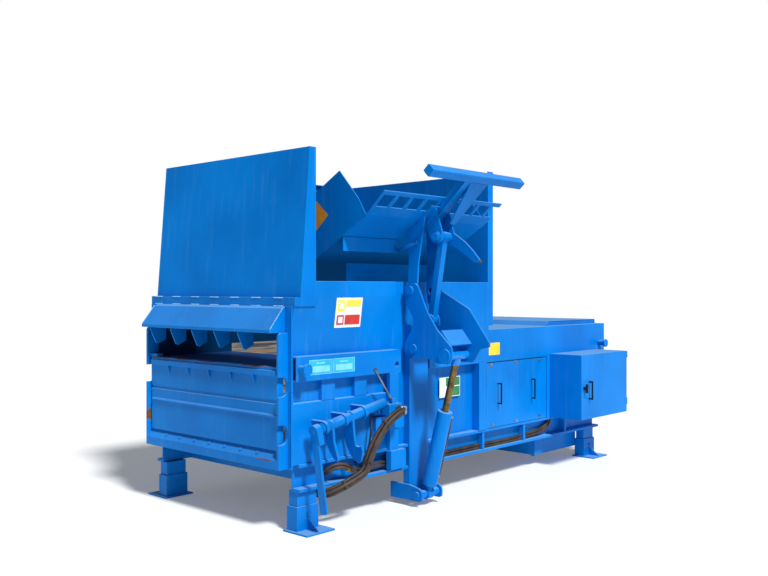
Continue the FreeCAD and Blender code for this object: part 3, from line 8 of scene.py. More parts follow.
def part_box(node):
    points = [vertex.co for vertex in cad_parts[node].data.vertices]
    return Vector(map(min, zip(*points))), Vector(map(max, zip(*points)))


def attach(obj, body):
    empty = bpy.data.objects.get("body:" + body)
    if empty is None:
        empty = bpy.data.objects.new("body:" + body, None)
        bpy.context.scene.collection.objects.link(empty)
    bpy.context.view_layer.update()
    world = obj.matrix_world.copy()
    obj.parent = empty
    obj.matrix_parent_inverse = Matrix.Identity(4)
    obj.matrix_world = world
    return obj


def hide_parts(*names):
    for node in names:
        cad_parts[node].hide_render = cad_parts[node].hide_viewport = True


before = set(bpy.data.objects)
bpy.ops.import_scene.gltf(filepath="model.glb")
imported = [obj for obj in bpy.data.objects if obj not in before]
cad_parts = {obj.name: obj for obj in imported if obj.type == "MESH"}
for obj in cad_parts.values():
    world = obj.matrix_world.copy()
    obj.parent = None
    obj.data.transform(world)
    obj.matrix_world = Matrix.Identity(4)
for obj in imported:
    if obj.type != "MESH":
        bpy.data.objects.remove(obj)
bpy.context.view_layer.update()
print("frame loaded with", len(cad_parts), "solids")

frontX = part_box("near_wall")[0].x  # the wide body's front face
floorLow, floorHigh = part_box("chamber_floor")
middleY = (floorLow.y + floorHigh.y) / 2


def machine(x, y, z):  # millimetres from the body's front face, its centreline and the floor
    return Vector((frontX + x / 1000, middleY + y / 1000, z / 1000))


# camera, lights and floor

photo = {
    "camera": (-3905, -5190, 1600),
    "heading": 42.6,  # degrees
    "lens": 42.42,
    "sensor": 36.0,
}


def makeCamera():
    data = bpy.data.cameras.new("photoCamera")
    data.lens = photo["lens"]
    data.sensor_width = photo["sensor"]
    camera = bpy.data.objects.new("photoCamera", data)
    heading = math.radians(photo["heading"])
    ahead = Vector((math.cos(heading), math.sin(heading), 0))
    turn = ahead.to_track_quat("-Z", "Y").to_matrix().to_4x4()
    camera.matrix_world = Matrix.Translation(machine(*photo["camera"])) @ turn
    bpy.context.scene.collection.objects.link(camera)
    bpy.context.scene.camera = camera


def linearColour(hexText):
    parts = [int(hexText[i : i + 2], 16) / 255 for i in (1, 3, 5)]
    return [p / 12.92 if p <= 0.04045 else ((p + 0.055) / 1.055) ** 2.4 for p in parts] + [1.0]


def addNode(tree, kind, settings=None, links=None):  # sockets go by name or by number
    node = tree.nodes.new(kind)
    for name, value in (settings or {}).items():
        if name == "stops":  # a ramp's positions, each with its hex colour
            row = node.color_ramp.elements
            for position, hexText in value[1:-1]:
                row.new(position)
            for element, (position, hexText) in zip(row, value):
                element.position = position
                element.color = linearColour(hexText)
        elif isinstance(name, int) or name in node.inputs:
            node.inputs[name].default_value = value
        else:
            setattr(node, name, value)
    for name, source in (links or {}).items():
        tree.links.new(source, node.inputs[name])
    return node


sunLight = {"energy": 4.15, "angle": 9, "from": (-0.17, -0.64, 0.75)}
skyLight = {"sky": "#DCE4EC", "strength": 0.22, "backdrop": "#FFFFFF"}


def makeLights():
    data = bpy.data.lights.new("sun", "SUN")
    data.energy = sunLight["energy"]
    data.angle = math.radians(sunLight["angle"])
    sun = bpy.data.objects.new("sun", data)
    sun.rotation_mode = "QUATERNION"
    sun.rotation_quaternion = Vector(sunLight["from"]).to_track_quat("Z", "Y")
    bpy.context.scene.collection.objects.link(sun)
    world = bpy.data.worlds.new("studio")
    bpy.context.scene.world = world
    world.use_nodes = True
    tree = world.node_tree
    sky = tree.nodes["Background"]
    sky.inputs["Color"].default_value = linearColour(skyLight["sky"])
    sky.inputs["Strength"].default_value = skyLight["strength"]
    backdrop = addNode(tree, "ShaderNodeBackground", {"Color": linearColour(skyLight["backdrop"])})
    seen = addNode(tree, "ShaderNodeLightPath").outputs["Is Camera Ray"]
    links = {0: seen, 1: sky.outputs[0], 2: backdrop.outputs[0]}
    both = addNode(tree, "ShaderNodeMixShader", links=links)
    tree.links.new(both.outputs[0], tree.nodes["World Output"].inputs["Surface"])
    bpy.context.scene.view_settings.view_transform = "Standard"


def newMaterial(name, hexText, roughness, metallic=0.0, specular=0.5):
    material = bpy.data.materials.new(name)
    material.use_nodes = True
    material.diffuse_color = linearColour(hexText)
    tree = material.node_tree
    shader = tree.nodes["Principled BSDF"]
    shader.inputs["Base Color"].default_value = linearColour(hexText)
    shader.inputs["Roughness"].default_value = roughness
    shader.inputs["Metallic"].default_value = metallic
    shader.inputs["Specular IOR Level"].default_value = specular
    return material, tree, shader


floorLook = {
    "colour": "#E6E6E5",
    "roughness": 0.85,
    "half": 60,  # metres from the middle to a side
    "grainPerMetre": 30,
    "bump": 0.05,
    "lift": 0.2,  # light of its own, which softens the shadow
}


def makeFloor():  # a pale matt sheet that leaves the shadow soft
    bm = bmesh.new()
    bmesh.ops.create_grid(bm, x_segments=1, y_segments=1, size=floorLook["half"])
    mesh = bpy.data.meshes.new("studioFloor")
    bm.to_mesh(mesh)
    bm.free()
    floor = bpy.data.objects.new("studioFloor", mesh)
    bpy.context.scene.collection.objects.link(floor)
    material, tree, shader = newMaterial("paleFloor", floorLook["colour"], floorLook["roughness"])
    place = addNode(tree, "ShaderNodeTexCoord").outputs["Object"]
    scale = {"Scale": floorLook["grainPerMetre"]}
    grain = addNode(tree, "ShaderNodeTexNoise", scale, {"Vector": place})
    strength = {"Strength": floorLook["bump"]}
    bump = addNode(tree, "ShaderNodeBump", strength, {"Height": grain.outputs["Fac"]})
    tree.links.new(bump.outputs[0], shader.inputs["Normal"])
    shader.inputs["Emission Color"].default_value = linearColour(floorLook["colour"])
    shader.inputs["Emission Strength"].default_value = floorLook["lift"]
    mesh.materials.append(material)


makeCamera()
makeLights()
makeFloor()
print("camera, lights and floor set")

# materials

enamel = {
    "deep": "#006EC4",
    "colour": "#007DD6",
    # pale blue of rain tracks and dust, on flat faces also a painted sheen
    "dustAndSheen": "#8FB9D6",
    # paler blue for a painted highlight along edges
    "thin": "#38A0EA",
    "bare": "#5B4A3A",
    "rust": "#8A5428",
    "grip": "#0B1119",
    "roughness": 0.36,
    "specular": 0.09,
    "patchesPerMetre": 1.6,  # cloudy areas about 600 mm wide
    "patchStops": (0.34, 0.62),
    "runsPerMetre": 22,  # rain tracks about 45 mm apart
    "runsDrawn": (1.0, 1.0, 0.07),  # and about 650 mm long
    "runsFrom": (0.55, 0.85),
    "runShare": 0.08,
    "edge": 0.003,  # metres of the edges' rounding; the painted highlight along edges reaches in so far
    "edgeFrom": (0.995, 0.86),
    "edgeHighlightShare": 0.55,
    "edgeHighlightByWear": 0.2,
    "flatFrom": 0.55,
    "dustPerMetre": 70,  # specks of about 14 mm, coarser than real ones so that they show
    "dullByDust": 0.4,
    "polish": 0.04,  # clean paint is smoother by this
    "chipsPerMetre": 42,  # 24 mm apart; only the peaks are knocked off, a few mm wide
    "chipsOver": 0.80,
    "chipsByWear": 0.06,
    "rubbing": 0.9,
    "rubbedFrom": (0.82, 0.94),
    "rustStops": (0.4, 0.6),
    "dullByWear": 0.3,
    "chipDepth": 0.0008,
    "pullPerMetre": 2.2,  # plates pulled by their welds in waves of about 450 mm
    "pullDepth": 0.02,
    "peelPerMetre": 330,  # orange peel of about 3 mm
    "peelDepth": 0.0006,
}
times = {"operation": "MULTIPLY"}  # settings that many nodes share
larger = {"operation": "MAXIMUM"}


def nearness(tree, place, spots):  # 1 in the middle of a spot, 0 at its edge and beyond
    total = None
    for centre, reach in spots:
        settings = {"operation": "SUBTRACT", 1: machine(*centre)}
        offset = addNode(tree, "ShaderNodeVectorMath", settings, {0: place})
        settings = {"operation": "DIVIDE", 1: [r / 1000 for r in reach]}
        share = addNode(tree, "ShaderNodeVectorMath", settings, {0: offset.outputs[0]})
        far = addNode(tree, "ShaderNodeVectorMath", {"operation": "LENGTH"}, {0: share.outputs[0]})
        settings = {"operation": "SUBTRACT", "use_clamp": True, 0: 1.0}
        near = addNode(tree, "ShaderNodeMath", settings, {1: far.outputs["Value"]})
        if total:
            near = addNode(tree, "ShaderNodeMath", larger, {0: total, 1: near.outputs[0]})
        total = near.outputs[0]
    return total


scour = {
    "streaksPerMetre": 2.6,
    "drawn": (0.5, 9.0, 16.0),  # streaks about 770 mm long and 24 to 43 mm apart
    "stops": ((0.3, "#1E2B3A"), (0.45, "#5E6166"), (0.55, "#9C9484"), (0.66, "#9A6A3C")),
    "colour": "#6A645C",
    "roughness": 0.45,
    "metallic": 0.55,
    "bump": 0.3,
    "depth": 0.002,
}


def scouring(tree, place):  # long streaks of grey steel, tan paper dust and thin rust
    along = addNode(tree, "ShaderNodeMapping", {"Scale": scour["drawn"]}, {"Vector": place})
    streaks = addNode(
        tree,
        "ShaderNodeTexNoise",
        {"Scale": scour["streaksPerMetre"], "Detail": 5.0, "Roughness": 0.65},
        {"Vector": along.outputs[0]},
    )
    stops = {"stops": scour["stops"]}
    colours = addNode(tree, "ShaderNodeValToRGB", stops, {"Fac": streaks.outputs["Fac"]})
    return colours.outputs["Color"]


lining = {  # sizes in metres
    "half": 0.7455,  # from the centreline to the wear plates' faces
    "top": 1.15,
    "rear": 0.7,  # from the front face; ahead of this the plates are scoured lower down only
    "frontTop": 1.075,
    "turned": -0.3,  # distance off the centreline times the normal's Y: less on inner faces
    # painted shade: inner faces darken towards near black from 2.1 m down to 1.85 m
    "shadeFrom": 2.1,
    "shadeTo": 1.85,
    "shadeShare": 0.88,
    "paintedShade": "#04121F",
}


def lineWalls(tree, place, apart, upward, colour):
    # inside, the walls get a painted shade lower down, near black on the inner faces, and the wear
    # plates of the chamber are scoured bright and brown along the bale's way
    settings = {"operation": "COMPARE", 1: middleY, 2: lining["half"]}
    aside = addNode(tree, "ShaderNodeMath", settings, {0: apart.outputs["Y"]})
    settings = {"operation": "LESS_THAN", 1: lining["top"]}
    below = addNode(tree, "ShaderNodeMath", settings, {0: apart.outputs["Z"]})
    settings = {"operation": "SUBTRACT", 1: middleY}
    offset = addNode(tree, "ShaderNodeMath", settings, {0: apart.outputs["Y"]})
    links = {0: offset.outputs[0], 1: upward.outputs["Y"]}
    outward = addNode(tree, "ShaderNodeMath", times, links)
    settings = {"operation": "LESS_THAN", 1: lining["turned"]}
    inward = addNode(tree, "ShaderNodeMath", settings, {0: outward.outputs[0]})
    settings = {"operation": "GREATER_THAN", 1: frontX + lining["rear"]}
    rear = addNode(tree, "ShaderNodeMath", settings, {0: apart.outputs["X"]})
    settings = {"operation": "LESS_THAN", 1: lining["frontTop"]}
    under = addNode(tree, "ShaderNodeMath", settings, {0: apart.outputs["Z"]})
    links = {0: rear.outputs[0], 1: under.outputs[0]}
    inside = addNode(tree, "ShaderNodeMath", larger, links)
    for mask in (aside, below, inward):
        links = {0: inside.outputs[0], 1: mask.outputs[0]}
        inside = addNode(tree, "ShaderNodeMath", times, links)
    deep = addNode(
        tree,
        "ShaderNodeMapRange",
        {"From Min": lining["shadeFrom"], "From Max": lining["shadeTo"], "To Max": lining["shadeShare"]},
        {"Value": apart.outputs["Z"]},
    )
    shade = addNode(tree, "ShaderNodeMath", times, {0: deep.outputs[0], 1: inward.outputs[0]})
    # painted shade mixed in on the inner faces lower down
    colour = addNode(
        tree,
        "ShaderNodeMix",
        {"data_type": "RGBA", 7: linearColour(lining["paintedShade"])},
        {0: shade.outputs[0], 6: colour.outputs[2]},
    )
    links = {0: inside.outputs[0], 6: colour.outputs[2], 7: scouring(tree, place)}
    return addNode(tree, "ShaderNodeMix", {"data_type": "RGBA"}, links)


def makeEnamel(name, wear=0.0, spots=(), grips=None, lined=False):
    # sprayed alkyd enamel on plate: deep blue with a soft gloss, dusty where it lies flat, with a
    # painted sheen there, paler along edges as a painted highlight, brown where it is knocked off
    look = (enamel["colour"], enamel["roughness"], 0.0, enamel["specular"])
    material, tree, shader = newMaterial(name, *look)
    place = addNode(tree, "ShaderNodeTexCoord").outputs["Object"]
    facing = addNode(tree, "ShaderNodeNewGeometry").outputs["Normal"]
    settings = {"Scale": enamel["patchesPerMetre"], "Detail": 4.0}
    patches = addNode(tree, "ShaderNodeTexNoise", settings, {"Vector": place})
    stops = {"stops": tuple(zip(enamel["patchStops"], (enamel["deep"], enamel["colour"])))}
    colour = addNode(tree, "ShaderNodeValToRGB", stops, {"Fac": patches.outputs["Fac"]})
    tracks = addNode(tree, "ShaderNodeMapping", {"Scale": enamel["runsDrawn"]}, {"Vector": place})
    settings = {"Scale": enamel["runsPerMetre"], "Detail": 3.0, "Roughness": 0.6}
    runs = addNode(tree, "ShaderNodeTexNoise", settings, {"Vector": tracks.outputs[0]})
    low, high = enamel["runsFrom"]
    settings = {"From Min": low, "From Max": high, "To Max": enamel["runShare"]}
    runShare = addNode(tree, "ShaderNodeMapRange", settings, {"Value": runs.outputs["Fac"]})
    colour = addNode(
        tree,
        "ShaderNodeMix",
        {"data_type": "RGBA", 7: linearColour(enamel["dustAndSheen"])},
        {0: runShare.outputs[0], 6: colour.outputs["Color"]},
    )
    # painted highlight: edges turn paler blue, wider with wear
    rounded = addNode(tree, "ShaderNodeBevel", {"samples": 6, "Radius": enamel["edge"]})
    links = {0: rounded.outputs[0], 1: facing}
    sharpness = addNode(tree, "ShaderNodeVectorMath", {"operation": "DOT_PRODUCT"}, links)
    low, high = enamel["edgeFrom"]
    share = enamel["edgeHighlightShare"] + enamel["edgeHighlightByWear"] * wear
    thin = addNode(
        tree,
        "ShaderNodeMapRange",
        {"From Min": low, "From Max": high, "To Max": share},
        {"Value": sharpness.outputs["Value"]},
    )
    colour = addNode(
        tree,
        "ShaderNodeMix",
        {"data_type": "RGBA", 7: linearColour(enamel["thin"])},
        {0: thin.outputs[0], 6: colour.outputs[2]},
    )
    # flat faces paler: specks of real dust mixed with a painted sheen from the sky
    upward = addNode(tree, "ShaderNodeSeparateXYZ", links={"Vector": facing})
    settings = {"From Min": enamel["flatFrom"], "From Max": 1.0}
    flat = addNode(tree, "ShaderNodeMapRange", settings, {"Value": upward.outputs["Z"]})
    settings = {"Scale": enamel["dustPerMetre"], "Detail": 5.0, "Roughness": 0.7}
    specks = addNode(tree, "ShaderNodeTexNoise", settings, {"Vector": place})
    flatDustAndSheen = addNode(tree, "ShaderNodeMath", times, {0: flat.outputs[0], 1: specks.outputs["Fac"]})
    colour = addNode(
        tree,
        "ShaderNodeMix",
        {"data_type": "RGBA", 7: linearColour(enamel["dustAndSheen"])},
        {0: flatDustAndSheen.outputs[0], 6: colour.outputs[2]},
    )
    settings = {"Scale": enamel["chipsPerMetre"], "Detail": 6.0, "Roughness": 0.75}
    chips = addNode(tree, "ShaderNodeTexNoise", settings, {"Vector": place})
    level = {"operation": "GREATER_THAN", 1: enamel["chipsOver"] - enamel["chipsByWear"] * wear}
    worn = addNode(tree, "ShaderNodeMath", level, {0: chips.outputs["Fac"]}).outputs[0]
    if spots:
        pressed = addNode(
            tree,
            "ShaderNodeMath",
            {"operation": "MULTIPLY_ADD", 1: enamel["rubbing"]},
            {0: nearness(tree, place, spots), 2: chips.outputs["Fac"]},
        )
        low, high = enamel["rubbedFrom"]
        settings = {"From Min": low, "From Max": high}
        rubbed = addNode(tree, "ShaderNodeMapRange", settings, {"Value": pressed.outputs[0]})
        both = {0: worn, 1: rubbed.outputs[0]}
        worn = addNode(tree, "ShaderNodeMath", larger, both).outputs[0]
    stops = {"stops": tuple(zip(enamel["rustStops"], (enamel["bare"], enamel["rust"])))}
    metal = addNode(tree, "ShaderNodeValToRGB", stops, {"Fac": specks.outputs["Fac"]})
    links = {0: worn, 6: colour.outputs[2], 7: metal.outputs["Color"]}
    colour = addNode(tree, "ShaderNodeMix", {"data_type": "RGBA"}, links)
    apart = addNode(tree, "ShaderNodeSeparateXYZ", links={"Vector": place})
    if grips:  # pull handles of black bar: all that stands out past this depth
        settings = {"operation": "LESS_THAN", 1: grips}
        black = addNode(tree, "ShaderNodeMath", settings, {0: apart.outputs["Y"]})
        colour = addNode(
            tree,
            "ShaderNodeMix",
            {"data_type": "RGBA", 7: linearColour(enamel["grip"])},
            {0: black.outputs[0], 6: colour.outputs[2]},
        )
    if lined:
        colour = lineWalls(tree, place, apart, upward, colour)
    tree.links.new(colour.outputs[2], shader.inputs["Base Color"])
    clean = enamel["roughness"] - enamel["polish"]
    settings = {"operation": "MULTIPLY_ADD", 1: enamel["dullByDust"], 2: clean}
    rough = addNode(tree, "ShaderNodeMath", settings, {0: flatDustAndSheen.outputs[0]})
    settings = {"operation": "MULTIPLY_ADD", 1: enamel["dullByWear"]}
    rougher = addNode(tree, "ShaderNodeMath", settings, {0: worn, 2: rough.outputs[0]})
    tree.links.new(rougher.outputs[0], shader.inputs["Roughness"])
    settings = {"Scale": enamel["pullPerMetre"], "Detail": 1.0}
    pull = addNode(tree, "ShaderNodeTexNoise", settings, {"Vector": place})
    large = addNode(
        tree,
        "ShaderNodeBump",
        {"Strength": 0.3, "Distance": enamel["pullDepth"]},
        {"Height": pull.outputs["Fac"], "Normal": rounded.outputs[0]},
    )
    settings = {"Scale": enamel["peelPerMetre"], "Detail": 2.0}
    peel = addNode(tree, "ShaderNodeTexNoise", settings, {"Vector": place})
    fine = addNode(
        tree,
        "ShaderNodeBump",
        {"Strength": 0.15, "Distance": enamel["peelDepth"]},
        {"Height": peel.outputs["Fac"], "Normal": large.outputs[0]},
    )
    knocked = addNode(
        tree,
        "ShaderNodeBump",
        {"Strength": 0.5, "Distance": enamel["chipDepth"], "invert": True},
        {"Height": worn, "Normal": fine.outputs[0]},
    )
    tree.links.new(knocked.outputs[0], shader.inputs["Normal"])
    return material


def makeScouredSteel():  # bare plate polished by paper, with thin rust between the streaks
    look = (scour["colour"], scour["roughness"], scour["metallic"])
    material, tree, shader = newMaterial("scouredSteel", *look)
    colours = scouring(tree, addNode(tree, "ShaderNodeTexCoord").outputs["Object"])
    tree.links.new(colours, shader.inputs["Base Color"])
    settings = {"Strength": scour["bump"], "Distance": scour["depth"]}
    bump = addNode(tree, "ShaderNodeBump", settings, {"Height": colours})
    tree.links.new(bump.outputs[0], shader.inputs["Normal"])
    return material


finishes = {
    # name: colour, darker, roughness, metallic, grain per metre, depth of the grain in metres;
    # the grain of plastic, film and zinc is drawn coarser than real, so that it shows
    "zincPlatedBolt": ("#A9B3BC", "#6E7880", 0.35, 0.85, 500, 0.0003),  # bright, slightly blue
    "oiledPistonRod": ("#8C7444", "#54452A", 0.32, 0.8, 160, 0.0003),  # oil turned bronze by dust
    "hydraulicHose": ("#4A3B30", "#221C19", 0.62, 0.0, 150, 0.0012),  # dull rubber, brown with dust
    "mouldedBlackPlastic": ("#15171A", "#0B0C0E", 0.42, 0.0, 600, 0.0003),  # fine spark grain
    "turnedBrass": ("#B98F45", "#7C5C28", 0.3, 0.9, 400, 0.0002),  # yellow, a little tarnished
    "paintedGlintWeld": ("#A4D2F0", "#5CAEE4", 0.3, 0.0, 300, 0.0004),  # painted bead, its pale colour a painted glint
    "shadedRoofEnamel": ("#0F4384", "#0A2C5C", 0.5, 0.0, 120, 0.0008),  # blue darkened as a painted shade under the hood, dulled by paper dust
    "blackCableTie": ("#0E0F10", "#08090A", 0.4, 0.0, 700, 0.0002),  # smooth nylon
    "whiteFilm": ("#F1F3F2", "#DDE2E4", 0.35, 0.0, 200, 0.0001),  # printed vinyl, faintly scuffed
    "yellowFilm": ("#F7D838", "#EAC524", 0.35, 0.0, 200, 0.0001),
    "paleYellowFilm": ("#F0E24E", "#E6D640", 0.35, 0.0, 200, 0.0001),
    "redFilm": ("#D8342A", "#BE2A24", 0.35, 0.0, 200, 0.0001),
    "cyanFilm": ("#1FB6E2", "#12A4D4", 0.35, 0.0, 200, 0.0001),
    "paleCyanFilm": ("#83D6EC", "#66C8E2", 0.35, 0.0, 200, 0.0001),
    "greenFilm": ("#1E8A4C", "#14713C", 0.35, 0.0, 200, 0.0001),
    "orangeFilm": ("#F0A21C", "#DE8E12", 0.35, 0.0, 200, 0.0001),
}
plain = {
    "patchesPerMetre": 14,  # darker areas about 70 mm wide
    "stops": (0.35, 0.65),
    "spread": 0.2,  # of the roughness over the grain
    "bump": 0.4,
}


def makePlain(name, hexText, darker, roughness, metallic, grainPerMetre, depth, painted=None):
    material, tree, shader = newMaterial(name, hexText, roughness, metallic)
    place = addNode(tree, "ShaderNodeTexCoord").outputs["Object"]
    settings = {"Scale": plain["patchesPerMetre"], "Detail": 5.0, "Roughness": 0.6}
    patches = addNode(tree, "ShaderNodeTexNoise", settings, {"Vector": place})
    stops = {"stops": tuple(zip(plain["stops"], (darker, hexText)))}
    colour = addNode(tree, "ShaderNodeValToRGB", stops, {"Fac": patches.outputs["Fac"]})
    tint = colour.outputs["Color"]
    if painted:  # enamel from this height up, in metres
        height = addNode(tree, "ShaderNodeSeparateXYZ", links={"Vector": place})
        settings = {"operation": "GREATER_THAN", 1: painted}
        above = addNode(tree, "ShaderNodeMath", settings, {0: height.outputs["Z"]})
        tint = addNode(
            tree,
            "ShaderNodeMix",
            {"data_type": "RGBA", 7: linearColour(enamel["colour"])},
            {0: above.outputs[0], 6: tint},
        ).outputs[2]
        shine = {"operation": "MULTIPLY_ADD", 1: -metallic, 2: metallic}
        metal = addNode(tree, "ShaderNodeMath", shine, {0: above.outputs[0]})
        tree.links.new(metal.outputs[0], shader.inputs["Metallic"])
    tree.links.new(tint, shader.inputs["Base Color"])
    settings = {"Scale": grainPerMetre, "Detail": 3.0}
    grain = addNode(tree, "ShaderNodeTexNoise", settings, {"Vector": place}).outputs["Fac"]
    spread = plain["spread"]
    settings = {"operation": "MULTIPLY_ADD", 1: spread, 2: roughness - spread / 2}
    rough = addNode(tree, "ShaderNodeMath", settings, {0: grain})
    tree.links.new(rough.outputs[0], shader.inputs["Roughness"])
    settings = {"Strength": plain["bump"], "Distance": depth}
    bump = addNode(tree, "ShaderNodeBump", settings, {"Height": grain})
    tree.links.new(bump.outputs[0], shader.inputs["Normal"])
    return material


rubbedSpots = {  # where paper and the bin have worn the paint off: centre and reach
    "notches": [((-60, y, z), (70, 60, 78)) for y in (-750, 750) for z in (649, 959)],
    "doorLedge": [((-66, y, 1088), (70, 230, 17)) for y in (-470, 30, 330, 610)],
    "sillEdge": [((-80, -610, 480), (30, 150, 9))],
    "hornTip": [((1292, -1347, 1780), (60, 34, 34))],
}
panelGrips = machine(0, -822, 0).y  # the panels' pull handles lie beyond this
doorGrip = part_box("cabinet_door")[0].y + 0.0405  # and the cabinet's stands out so far
rodHead = 1.045  # the rod is painted above this height
materials = {
    "blue": makeEnamel("sprayedBlueEnamel"),
    "scuffed": makeEnamel("scuffedBlueEnamel", 1.0),  # feet, claws and the hand lever
    "notched": makeEnamel("notchedPlateEnamel", 0.4, rubbedSpots["notches"]),
    "door": makeEnamel("baleDoorEnamel", 0.5, rubbedSpots["doorLedge"]),
    "sill": makeEnamel("sillEnamel", 0.5, rubbedSpots["sillEdge"]),
    "panel": makeEnamel("accessPanelEnamel", grips=panelGrips),
    "cabinet": makeEnamel("cabinetDoorEnamel", grips=doorGrip),
    "wall": makeEnamel("chamberWallEnamel", 0.2, lined=True),
    "horn": makeEnamel("hornEnamel", 0.8, rubbedSpots["hornTip"]),
    "scoured": makeScouredSteel(),
}
materials.update({name: makePlain(name, *row) for name, row in finishes.items()})
materials["paintedRod"] = makePlain("paintedPistonRod", *finishes["oiledPistonRod"], rodHead)
print("materials made", len(materials))

# the solids' finishes

dressed = {  # all others are plain blue
    "platen": "scoured",
    "chamber_floor": "scoured",
    "near_wall": "wall",
    "far_wall": "wall",
    "hopper_far": "wall",
    "front_frame_near": "notched",
    "front_frame_far": "notched",
    "bale_door": "door",
    "front_sill": "sill",
    "access_panel_near": "panel",
    "cabinet_door": "cabinet",
    "ram_rod": "zincPlatedBolt",
    "lift_rod": "paintedRod",
    "cabinet_latch": "mouldedBlackPlastic",
    "hand_lever": "scuffed",
    "valve_lever": "zincPlatedBolt",
    "foot_front_near": "scuffed",
    "foot_front_far": "scuffed",
    "foot_rear_near": "scuffed",
    "foot_rear_far": "scuffed",
}
for name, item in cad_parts.items():
    item.data.materials.clear()
    item.data.materials.append(materials[dressed.get(name, "blue")])
print("solids dressed", len(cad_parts))

# making pieces


def finishPiece(name, bm, finish, body="root"):
    # the finish lists materials in the order of the faces' material numbers
    bmesh.ops.recalc_face_normals(bm, faces=bm.faces)
    mesh = bpy.data.meshes.new(name)
    bm.to_mesh(mesh)
    bm.free()
    for key in finish:
        mesh.materials.append(materials[key])
    piece = bpy.data.objects.new(name, mesh)
    bpy.context.scene.collection.objects.link(piece)
    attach(piece, body)
    return piece


def standing(base, along):  # turns Z to a direction and moves there
    turn = Vector(along).to_track_quat("Z", "Y").to_matrix().to_4x4()
    return Matrix.Translation(base) @ turn


def addRing(bm, base, along, radius, length, segments, number=0, taper=1.0):  # a capped bar or nut
    shift = Matrix.Translation((0, 0, length / 2))
    made = bmesh.ops.create_cone(
        bm,
        cap_ends=True,
        segments=segments,
        radius1=radius,
        radius2=radius * taper,
        depth=length,
        matrix=standing(base, along) @ shift,
    )
    for face in {face for vert in made["verts"] for face in vert.link_faces}:
        face.material_index = number
        face.smooth = segments > 8 and len(face.verts) == 4


def addStack(bm, base, along, unit, rings, number=0):  # rings end to end, in shares of a size
    ahead = Vector(along).normalized()
    for radius, length, segments, taper in rings:
        addRing(bm, base, ahead, radius * unit, length * unit, segments, number, taper)
        base = base + ahead * length * unit


def drawOut(bm, face, step):  # makes a face into a closed plate
    made = bmesh.ops.extrude_face_region(bm, geom=[face])
    moved = [item for item in made["geom"] if isinstance(item, bmesh.types.BMVert)]
    bmesh.ops.translate(bm, verts=moved, vec=step)
    return moved


def addPlate(bm, corners, thick, way=None):  # thick along a direction or along its own normal
    face = bm.faces.new([bm.verts.new(corner) for corner in corners])
    face.normal_update()
    drawOut(bm, face, (Vector(way) if way else face.normal) * thick / 1000)


def breakEdges(bm, width):  # the small rounding of a cut plate
    bmesh.ops.bevel(
        bm,
        geom=list(bm.edges),
        offset=width / 1000,
        segments=2,
        profile=0.5,
        affect="EDGES",
        material=-1,
    )


# signs and labels, bare fields of colour

film = {  # metres
    "thick": 0.0006,
    "lift": 0.0004,  # its face stands so far off the plate, and its back lies in it
    "step": 0.0007,  # each field lies over the last
}
beamLabel = {
    "across": (208, 0, 0),
    "up": (0, 0, 97),
    "films": ("cyanFilm", "paleCyanFilm"),
    "fields": (
        (1, (0, 0, 1, 1)),
        (0, (0.02, 0.04, 0.98, 0.96)),
        (1, (0.3, 0.72, 0.66, 0.82)),
        (1, (0.12, 0.16, 0.88, 0.58)),
    ),
}
signs = {  # a field has its film's number, then left, low, right and high as shares of the sign
    "wall_sign": {
        "corner": (380, -789.6, 1330),
        "across": (252, 0, 0),
        "up": (0, -28.8, 204),  # leans out with the wall
        "films": ("whiteFilm", "paleYellowFilm", "redFilm"),
        "fields": (
            (0, (0, 0, 1, 1)),
            (1, (0.06, 0.55, 0.34, 0.93)),
            (1, (0.37, 0.70, 0.94, 0.93)),
            (0, (0.12, 0.62, 0.28, 0.84)),
            (2, (0.37, 0.10, 0.94, 0.42)),
            (2, (0.06, 0.10, 0.32, 0.42)),
            (0, (0.11, 0.16, 0.27, 0.36)),
        ),
    },
    "beam_label_1": {"corner": (112, -835, 1030), **beamLabel},
    "beam_label_2": {"corner": (326, -835, 1030), **beamLabel},
    "band_label": {
        "corner": (2112, -820, 1050),
        "across": (152, 0, 0),
        "up": (0, 0, 100),
        "films": ("yellowFilm",),
        "fields": ((0, (0, 0, 1, 1)),),
    },
    "side_label": {
        "corner": (1542, -765, 748),
        "across": (256, 0, 0),
        "up": (0, 0, 155),
        "films": ("whiteFilm", "greenFilm"),
        "fields": ((0, (0, 0, 1, 1)), (1, (0.3, 0.55, 0.98, 0.97)), (1, (0.55, 0.04, 0.98, 0.5))),
    },
}
cheekSticker = {
    "x": 542,
    "lift": 0.0002,
    "points": ((-564, 2117), (-440, 2224), (-412, 2200), (-412, 2034), (-440, 2010)),
}


def addField(bm, corners, number, lift):  # corners run anticlockwise, seen from the film's front
    rows = [bm.verts.new(corner) for corner in corners]
    face = bm.faces.new(rows)
    face.normal_update()
    bmesh.ops.translate(bm, verts=rows, vec=face.normal * lift)
    moved = drawOut(bm, face, face.normal * -film["thick"])
    for side in {side for vert in rows + moved for side in vert.link_faces}:
        side.material_index = number


def makeSign(name, sign):
    bm = bmesh.new()
    start = machine(*sign["corner"])
    across, up = Vector(sign["across"]) / 1000, Vector(sign["up"]) / 1000
    for layer, (number, (left, low, right, high)) in enumerate(sign["fields"]):
        shares = ((left, low), (right, low), (right, high), (left, high))
        corners = [start + across * aside + up * above for aside, above in shares]
        addField(bm, corners, number, film["lift"] + film["step"] * layer)
    finishPiece(name, bm, sign["films"])


def makeCheekSticker():
    bm = bmesh.new()
    corners = [machine(cheekSticker["x"], y, z) for y, z in cheekSticker["points"]]
    addField(bm, corners, 0, cheekSticker["lift"])
    finishPiece("cheek_sticker", bm, ("orangeFilm",), "tipping_frame")


for name, sign in signs.items():
    makeSign(name, sign)
makeCheekSticker()
print("signs made")

# bolts

